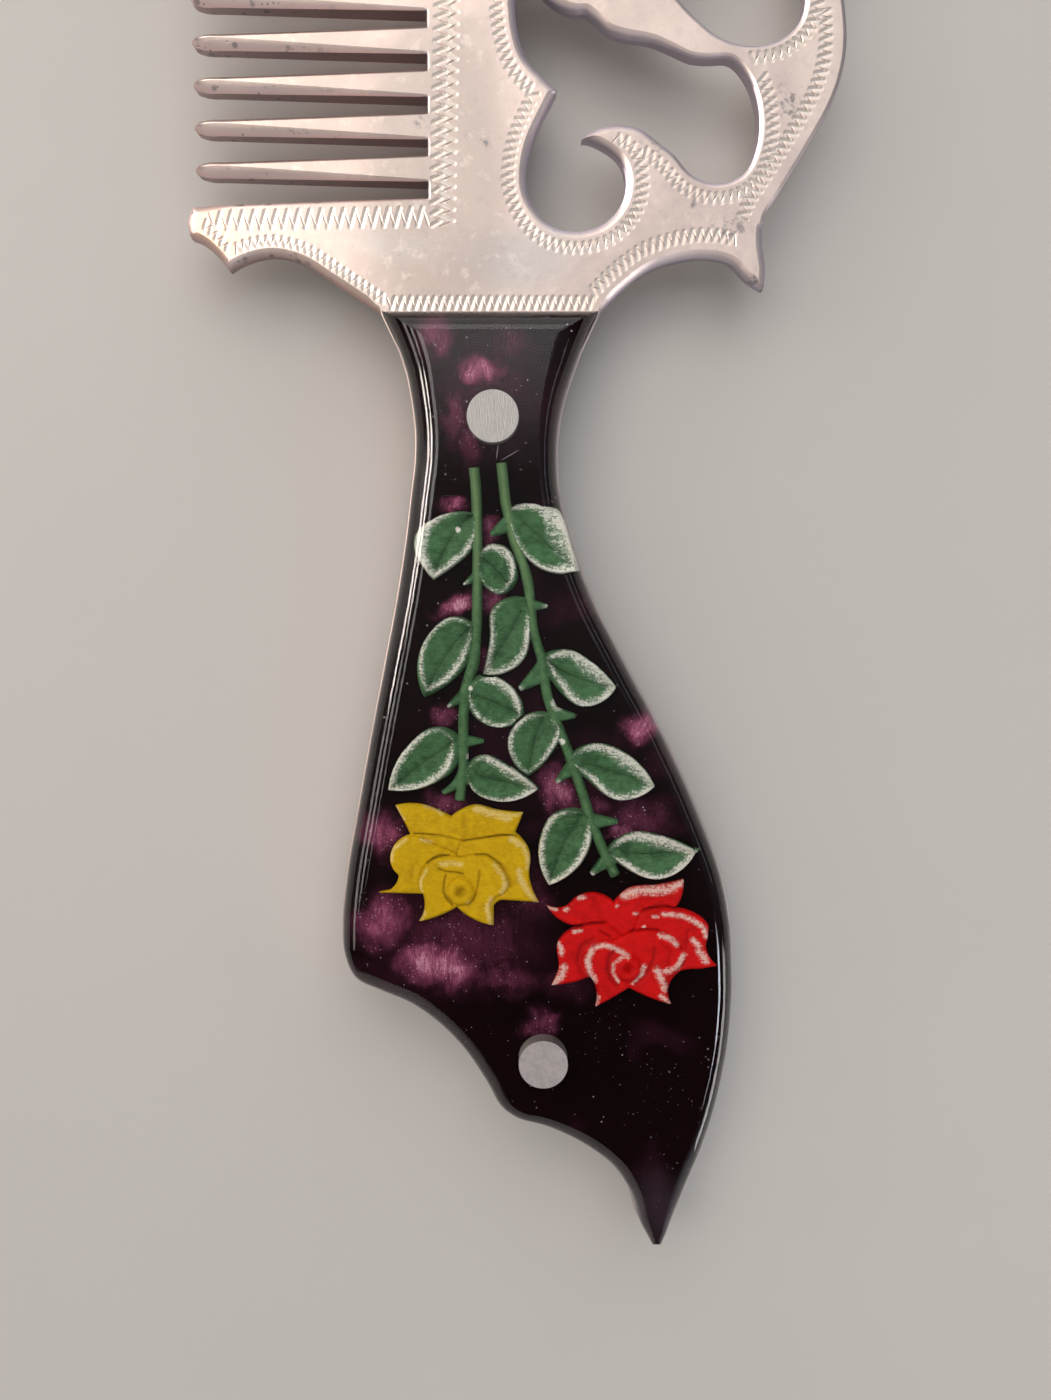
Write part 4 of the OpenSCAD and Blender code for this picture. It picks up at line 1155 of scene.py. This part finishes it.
# A rose is: its petals in front of the back ones, each with its height near the heart and at its rim, and its
# outline; its cuts, each with a width, a darkness and a line, where the darkness is painted shade and the
# soft wide ones are painted shadows over a petal; its white rims, each with a width and a line; its heart,
# with the middle and the radius of the ring and of the hole
YELLOW_ROSE = (
    [(1.00, 1.25, [(-21, -66.6), (-16.4, -66.3), (-15.0, -66.0), (-13.5, -66.1), (-12.1, -66.7),
                   (-11.1, -67.2), (-8.8, -68.2), (-8.8, -74.0), (-12.0, -80.0), (-21, -80)]),
     (1.00, 1.25, [(-8.2, -66.5), (-5.6, -66.15), (-4.3, -65.95), (-2.8, -65.75), (-1.1, -65.8), (3, -65.3),
                   (4, -72), (4, -80), (-4, -80), (-8.8, -73), (-8.8, -68.2)]),
     (1.30, 1.55, [(-14.4, -77.9), (-12.9, -74.8), (-13.0, -73.7), (-13.7, -72.3), (-13.5, -71.2),
                   (-12.9, -69.8), (-12.0, -69.0), (-11.1, -68.5), (-10.0, -68.4), (-8.6, -68.5),
                   (-7.2, -68.4), (-5.0, -68.3), (-4.0, -69.0), (-3.0, -70.0), (-2.3, -71.5),
                   (-2.15, -72.4), (-2.7, -73.2), (-3.8, -73.9), (-4.4, -74.5), (-4.3, -75.8),
                   (-3.9, -78.4), (-8.7, -78.4)])],
    [(0.20, 1.0, [(-14.2, -65.5), (-12.6, -65.55), (-11.5, -65.7)]),
     (0.30, 0.4, [(-11.5, -65.7), (-8.0, -66.5)]),
     (0.20, 1.0, [(-7.9, -66.45), (-5.6, -66.1), (-4.3, -65.9), (-2.8, -65.7), (-1.1, -65.8)]),
     (0.26, 1.0, [(-12.6, -69.3), (-11.9, -68.8), (-11.1, -68.45), (-9.8, -68.3)]),
     (0.24, 0.8, [(-6.4, -68.25), (-5.0, -68.2), (-4.0, -68.8), (-3.1, -69.6)]),
     (0.40, 0.35, [(-3.1, -69.6), (-2.1, -71.2), (-1.9, -72.4)]),
     (0.24, 1.0, [(-11.1, -70.05), (-10.2, -70.4), (-8.8, -70.5), (-8.0, -70.7)]),
     (0.30, 0.9, [(-10.2, -70.9), (-10.4, -71.8), (-10.5, -73.1), (-10.2, -73.9), (-9.4, -74.8)]),
     (0.24, 0.6, [(-5.9, -70.3), (-5.9, -71.2), (-6.1, -72.2), (-6.3, -73.1), (-6.7, -74.2), (-7.4, -74.9)]),
     (0.70, 0.1, [(-14.2, -69.6), (-14.6, -71.2), (-14.2, -72.9)]),
     (0.60, 0.05, [(-7.8, -63.4), (-7.7, -64.6), (-7.6, -65.9)])],
    [(0.45, [(-16.5, -62.2), (-15.6, -63.6)]), (0.40, [(-12.8, -61.9), (-11.6, -62.2), (-10.7, -62.9)]),
     (0.80, [(-6.2, -62.3), (-4.5, -62.8), (-2.2, -63.4)]), (0.35, [(-2.2, -63.3), (-0.6, -62.9)]),
     (0.42, [(-17.2, -69.0), (-16.9, -67.5), (-15.4, -66.3)]), (0.35, [(-13.4, -66.3), (-12.0, -66.6)]),
     (0.62, [(-1.8, -66.2), (-0.3, -67.1), (0.4, -68.6), (0.4, -70.0)]),
     (0.62, [(-0.8, -70.3), (-0.6, -71.6), (0.3, -73.0), (1.4, -74.3)]),
     (0.50, [(-10.8, -69.4), (-9.4, -69.25), (-8.2, -69.5)]),
     (0.55, [(-4.0, -69.5), (-2.9, -70.9), (-2.5, -72.2), (-3.0, -73.1)]),
     (0.55, [(-4.4, -73.9), (-4.9, -75.2), (-4.5, -77.2)]),
     (0.30, [(-12.6, -70.1), (-13.5, -71.7), (-13.3, -72.9)]),
     (0.45, [(-13.0, -75.8), (-13.6, -76.9)]), (0.30, [(-7.4, -74.5), (-7.2, -74.4)])],
    ((-8.3, -73.1), 1.75, 0.63))
RED_ROSE = (
    [(1.00, 1.25, [(0, -79.4), (4.2, -78.7), (6.05, -78.05), (7.3, -77.6), (8.75, -77.3), (10.2, -77.3),
                   (11.6, -78.2), (13.0, -80.0), (12.0, -84.0), (9.0, -90.0), (0, -90)]),
     (1.00, 1.25, [(14.2, -77.6), (15.15, -75.65), (16.4, -75.25), (18.1, -75.1), (19.3, -75.35), (27, -74),
                   (27, -86), (18, -86), (14.0, -82.0)]),
     (1.30, 1.55, [(9.05, -80.1), (8.05, -81.0), (7.55, -82.05), (7.7, -83.2), (8.35, -84.4), (8.9, -85.15),
                   (9.3, -86.0), (9.2, -87.05), (8.6, -89.0), (13.6, -89.0), (19.4, -89.0), (18.4, -86.0),
                   (18.3, -84.7), (19.1, -83.95), (20.25, -82.8), (20.7, -81.6), (20.1, -80.55),
                   (19.4, -79.55), (18.1, -78.65), (16.4, -78.2), (14.15, -78.3), (11.6, -79.4)])],
    [(0.30, 0.9, [(5.6, -78.2), (7.3, -77.6), (8.75, -77.3), (10.2, -77.2)]),
     (0.34, 0.9, [(15.15, -75.6), (16.4, -75.2), (18.1, -75.05), (19.25, -75.3)]),
     (0.26, 0.7, [(9.6, -78.2), (10.9, -79.0)]), (0.30, 0.5, [(13.6, -78.3), (15.4, -78.05), (17.0, -78.1)]),
     (0.75, 0.45, [(8.8, -79.3), (7.2, -80.4), (6.8, -82.0), (7.2, -83.6), (8.0, -84.8)]),
     (0.65, 0.7, [(11.4, -80.9), (10.8, -81.8), (10.6, -83.2), (10.9, -84.4), (11.8, -85.4)]),
     (0.40, 0.5, [(16.6, -80.7), (16.6, -81.9), (16.0, -83.4), (15.15, -84.5), (14.2, -85.3)]),
     (0.50, 0.2, [(17.6, -79.9), (18.8, -81.0), (18.6, -82.4)]),
     (0.60, 0.10, [(8.9, -74.2), (9.6, -75.6), (9.8, -76.8)]), (0.50, 0.10, [(21.0, -78.4), (20.8, -81.0)])],
    [(0.55, [(2.9, -75.0), (3.8, -75.3)]), (0.42, [(5.1, -75.5), (5.4, -75.4)]),
     (0.50, [(6.9, -73.9), (7.5, -73.8)]),
     (0.95, [(12.8, -73.5), (14.5, -72.9), (17.0, -72.9), (18.8, -72.6)]),
     (0.70, [(18.8, -72.6), (20.2, -71.9)]), (0.30, [(11.7, -75.1), (11.8, -74.9)]),
     (0.36, [(14.0, -76.0), (14.4, -76.0)]), (0.36, [(16.4, -76.3), (17.0, -76.3)]),
     (0.28, [(15.1, -77.7), (15.3, -77.7)]), (0.36, [(6.2, -78.4), (7.2, -78.2)]),
     (0.52, [(4.2, -80.0), (4.7, -80.8), (4.6, -81.3)]), (0.75, [(5.0, -83.1), (4.6, -84.2), (3.6, -85.2)]),
     (0.50, [(17.8, -76.0), (20.0, -76.2), (21.7, -76.9), (22.9, -77.8), (23.3, -79.0)]),
     (0.55, [(21.6, -79.4), (22.4, -80.4)]), (0.70, [(22.4, -80.9), (23.3, -82.2)]),
     (0.62, [(8.5, -80.9), (8.0, -82.2), (8.3, -83.6), (8.9, -84.8)]),
     (0.52, [(8.8, -80.4), (10.2, -80.1), (11.6, -80.5), (13.2, -81.5)]),
     (0.55, [(17.4, -78.8), (18.5, -79.1), (19.5, -80.0)]),
     (0.60, [(20.4, -81.4), (19.6, -83.0), (18.2, -83.6)]),
     (0.70, [(17.0, -83.4), (17.6, -84.8), (18.1, -85.9)]), (0.65, [(9.2, -87.1), (9.0, -88.1)]),
     (0.50, [(17.6, -86.9), (18.8, -87.8)]),
     (0.36, [(12.4, -81.7), (11.4, -82.5), (11.3, -83.7), (12.0, -84.9)]),
     (0.50, [(15.3, -82.9), (15.0, -84.0)]), (0.34, [(14.7, -84.3), (13.9, -85.2)])],
    ((13.3, -83.2), 1.75, 0.55))


def rose_face(points, away, petals, cuts, rims, heart):
    """Heights, white and crease of a rose's carved face. The crease is painted shade in the cuts and over the
    heart's hollow.
    """
    middle, ring, hole = heart
    out = length(points - middle)
    height = 0.75 + 0.25 * np.clip(out / 10.0, 0, 1)
    for near, far, knots in petals:
        knots = np.array(knots, float)
        edge = smoothed(knots, sharp_corners(knots, 50), [6] * len(knots), 30.0)
        off = nearest(points, *border_of([edge]))[0]
        own = near + (far - near) * np.clip(out / 8.0, 0, 1) - 0.25 * fade(off, 0.55) ** 2
        height = np.where(inside(points, [edge]), own, height - 0.20 * fade(off, 0.40) ** 2)
    crease, white = np.zeros(len(points)), np.zeros(len(points))
    for width, painted_shade, line in cuts:
        off = nearest(points, *line_of(line))[0]
        height = height - 0.26 * fade(off, width * 1.4) ** 2
        crease = np.maximum(crease, painted_shade * fade(off, width * 0.75))
    for width, line in rims:
        white = np.maximum(white, fade(nearest(points, *line_of(line))[0], width * 1.15))
    band = np.clip((out - hole) / (ring - hole), 0, 1)
    hollow = 1.50 - 0.6 * (1 - (out / hole) ** 2)
    height = np.where(out < ring, np.where(out > hole, 1.80 - 0.30 * (2 * band - 0.9) ** 2, hollow), height)
    height = height - 0.16 * fade(abs(out - ring - 0.05), 0.30) - 0.35 * fade(away, 0.35) ** 2
    # The heart's hollow is darkened with painted shade
    return height, {"white": white, "crease": np.maximum(crease, 0.55 * fade(out, hole * 1.15))}


yellow_paint = paint("yellow_rose_paint", (0.54, 0.335, 0.0), (0.68, 0.44, 0.001), (0.68, 0.44, 0.001),
                     (0.82, 0.68, 0.30), (0.16, 0.09, 0.001), 0.4, 0.52)
yellow_petals = painted("yellow_petals", "yellow_rose", ROSE_STEP, rose_face, YELLOW_ROSE, yellow_paint)
red_paint = paint("red_rose_paint", (0.52, 0.002, 0.002), (0.70, 0.003, 0.003), (0.70, 0.003, 0.003),
                  (0.82, 0.72, 0.63), (0.20, 0.002, 0.003), 0.2, 0.72)
red_petals = painted("red_petals", "red_rose", ROSE_STEP, rose_face, RED_ROSE, red_paint)


# The rivets. Each is a length of quarter-inch aluminium rod through the whole handle, filed flush and left
# matt. The rods are the CAD's own, and only their metal is made here.
def filed_rod():
    """Pale aluminium with short file marks."""
    finish = Finish("filed_rod")
    where = finish.drawn()
    marks = finish.streaks(where, 0.08, (6.0, 0.5), 1.6, 3.0, 0.65)
    cross = finish.streaks(where, 0.8, (5.0, 0.6), 1.2, 3.0, 0.65)
    patches = finish.noise(where, 1.2, 3.0, 0.6)
    tone = finish.mix(patches.ramp(0.35, 0.7), (0.31, 0.28, 0.275), (0.26, 0.24, 0.235))
    tone = finish.layered(tone, [
        (marks.ramp(0.6, 0.75) * 0.4, (0.18, 0.17, 0.17)),
        (finish.spot(where, (-4.0, -13.0), (9.0, 9.0)).ramp(0.0, 0.2) * 0.7, (0.265, 0.265, 0.26))])
    return finish.done(finish.surface({
        "Base Color": tone, "Metallic": 1.0, "Roughness": 0.58 + 0.2 * (cross - 0.5),
        "Normal": finish.bump(marks + 0.6 * cross, 0.05)}))


rod = filed_rod()
for name in ("rivet_upper", "rivet_lower"):
    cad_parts[name].data.materials.clear()
    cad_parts[name].data.materials.append(rod)


# The floor, the camera and the lights. The camera is held above the comb, as in a hand. Soft lights stand
# round the comb and leave the sky above it dim, so that the clear scale doesn't turn milky.
FLOOR_HALF = 1500.0
FLOOR_TOP = -0.1


def pale_floor():
    finish = Finish("pale_floor")
    where = finish.drawn()
    tone = finish.mix(finish.noise(where, 0.02, 3.0, 0.5), (0.69, 0.66, 0.62), (0.73, 0.70, 0.66))
    return finish.done(finish.surface({"Base Color": tone, "Roughness": 0.6, "Specular IOR Level": 0.3}))


ground = Shell()
corners = FLOOR_HALF * np.array([(-1, -1), (1, -1), (1, 1), (-1, 1)]) - NECK_AT
ground.face(ground.add(corners, FLOOR_TOP)[None], True)
floor = ground.piece("floor", pale_floor())

camera = bpy.data.objects.new("camera", bpy.data.cameras.new("camera"))
camera.location = (0.001315, -0.0133, 0.16814)
camera.rotation_euler = (math.radians(-6.3), 0, 0)
camera.data.sensor_fit = "VERTICAL"
camera.data.sensor_height = 36
camera.data.lens = 32.14
camera.data.clip_start = 0.01
bpy.context.scene.collection.objects.link(camera)
bpy.context.scene.camera = camera

# Each soft light: name, where it stands in metres, its width and height, its brightness and its tint.
# The gleams only show as reflections on the polished edges and the metal, so they leave the floor evenly lit.
SOFT_LIGHTS = [
    ("light_above_head", (0.02, 0.46, 0.44), (0.60, 0.22), 1.3, (1.0, 0.93, 0.86)),
    ("light_left", (-0.62, 0.10, 0.30), (0.60, 0.10), 1.2, (1.0, 0.92, 0.86)),
    ("light_right", (0.60, 0.20, 0.36), (0.60, 0.10), 1.2, (0.86, 0.91, 1.0)),
    ("gleam_high_left", (-0.24, -0.03, 0.61), (0.50, 0.10), 3.5, (1.0, 0.96, 0.92)),
    ("gleam_left", (-0.42, 0.21, 0.51), (0.40, 0.10), 24.0, (1.0, 0.92, 0.83)),
    ("gleam_left_tail", (-0.42, -0.09, 0.51), (0.20, 0.10), 4.4, (1.0, 0.93, 0.88)),
    ("gleam_low_left", (-0.57, 0.19, 0.33), (0.40, 0.12), 22.0, (1.0, 0.90, 0.81)),
    ("gleam_low_left_tail", (-0.57, -0.14, 0.33), (0.26, 0.12), 3.4, (1.0, 0.93, 0.88)),
    ("gleam_right", (0.31, -0.30, 0.51), (0.20, 0.11), 15.0, (0.86, 0.91, 1.0)),
    ("gleam_low_right", (0.55, -0.35, 0.15), (0.30, 0.23), 6.0, (1.0, 0.96, 0.95)),
]
for name, at, size, bright, tint in SOFT_LIGHTS:
    lamp = bpy.data.lights.new(name, "AREA")
    lamp.shape = "RECTANGLE"
    lamp.size, lamp.size_y = size
    lamp.energy = bright * math.pi * size[0] * size[1]
    lamp.color = tint
    light = bpy.data.objects.new(name, lamp)
    light.location = at
    light.rotation_euler = (Vector((0.0, -0.01, 0.0)) - Vector(at)).to_track_quat("-Z", "Y").to_euler()
    light.visible_diffuse = light.visible_transmission = not name.startswith("gleam")
    bpy.context.scene.collection.objects.link(light)

# The room is dim towards the comb's heel and brighter past its head, warm on the left and cool on the right
room = Finish("room", bpy.data.worlds)
direction = Wire(room, room.place.outputs["Generated"])
sideways = room.node("ShaderNodeSeparateXYZ", {}, {"Vector": direction}, out=0)
headward = room.node("ShaderNodeSeparateXYZ", {}, {"Vector": direction}, out=1)
tint = room.mix(sideways.ramp(-0.5, 0.5), (1.0, 0.92, 0.86), (0.90, 0.94, 1.0))
strength = 0.025 + 0.14 * headward.ramp(-0.35, 0.0)
sky = 1.35 * headward.ramp(0.06, 0.20) - 0.2 * headward.ramp(0.22, 0.32)
strength = strength + sky * sideways.ramp(0.60, 0.35)
strength = strength + 0.85 * headward.ramp(-0.50, -0.70)
air = room.node("ShaderNodeBackground", {}, {"Color": tint, "Strength": strength})
bpy.context.scene.world = room.done(air, "ShaderNodeOutputWorld")
bpy.context.scene.view_settings.view_transform = "Standard"
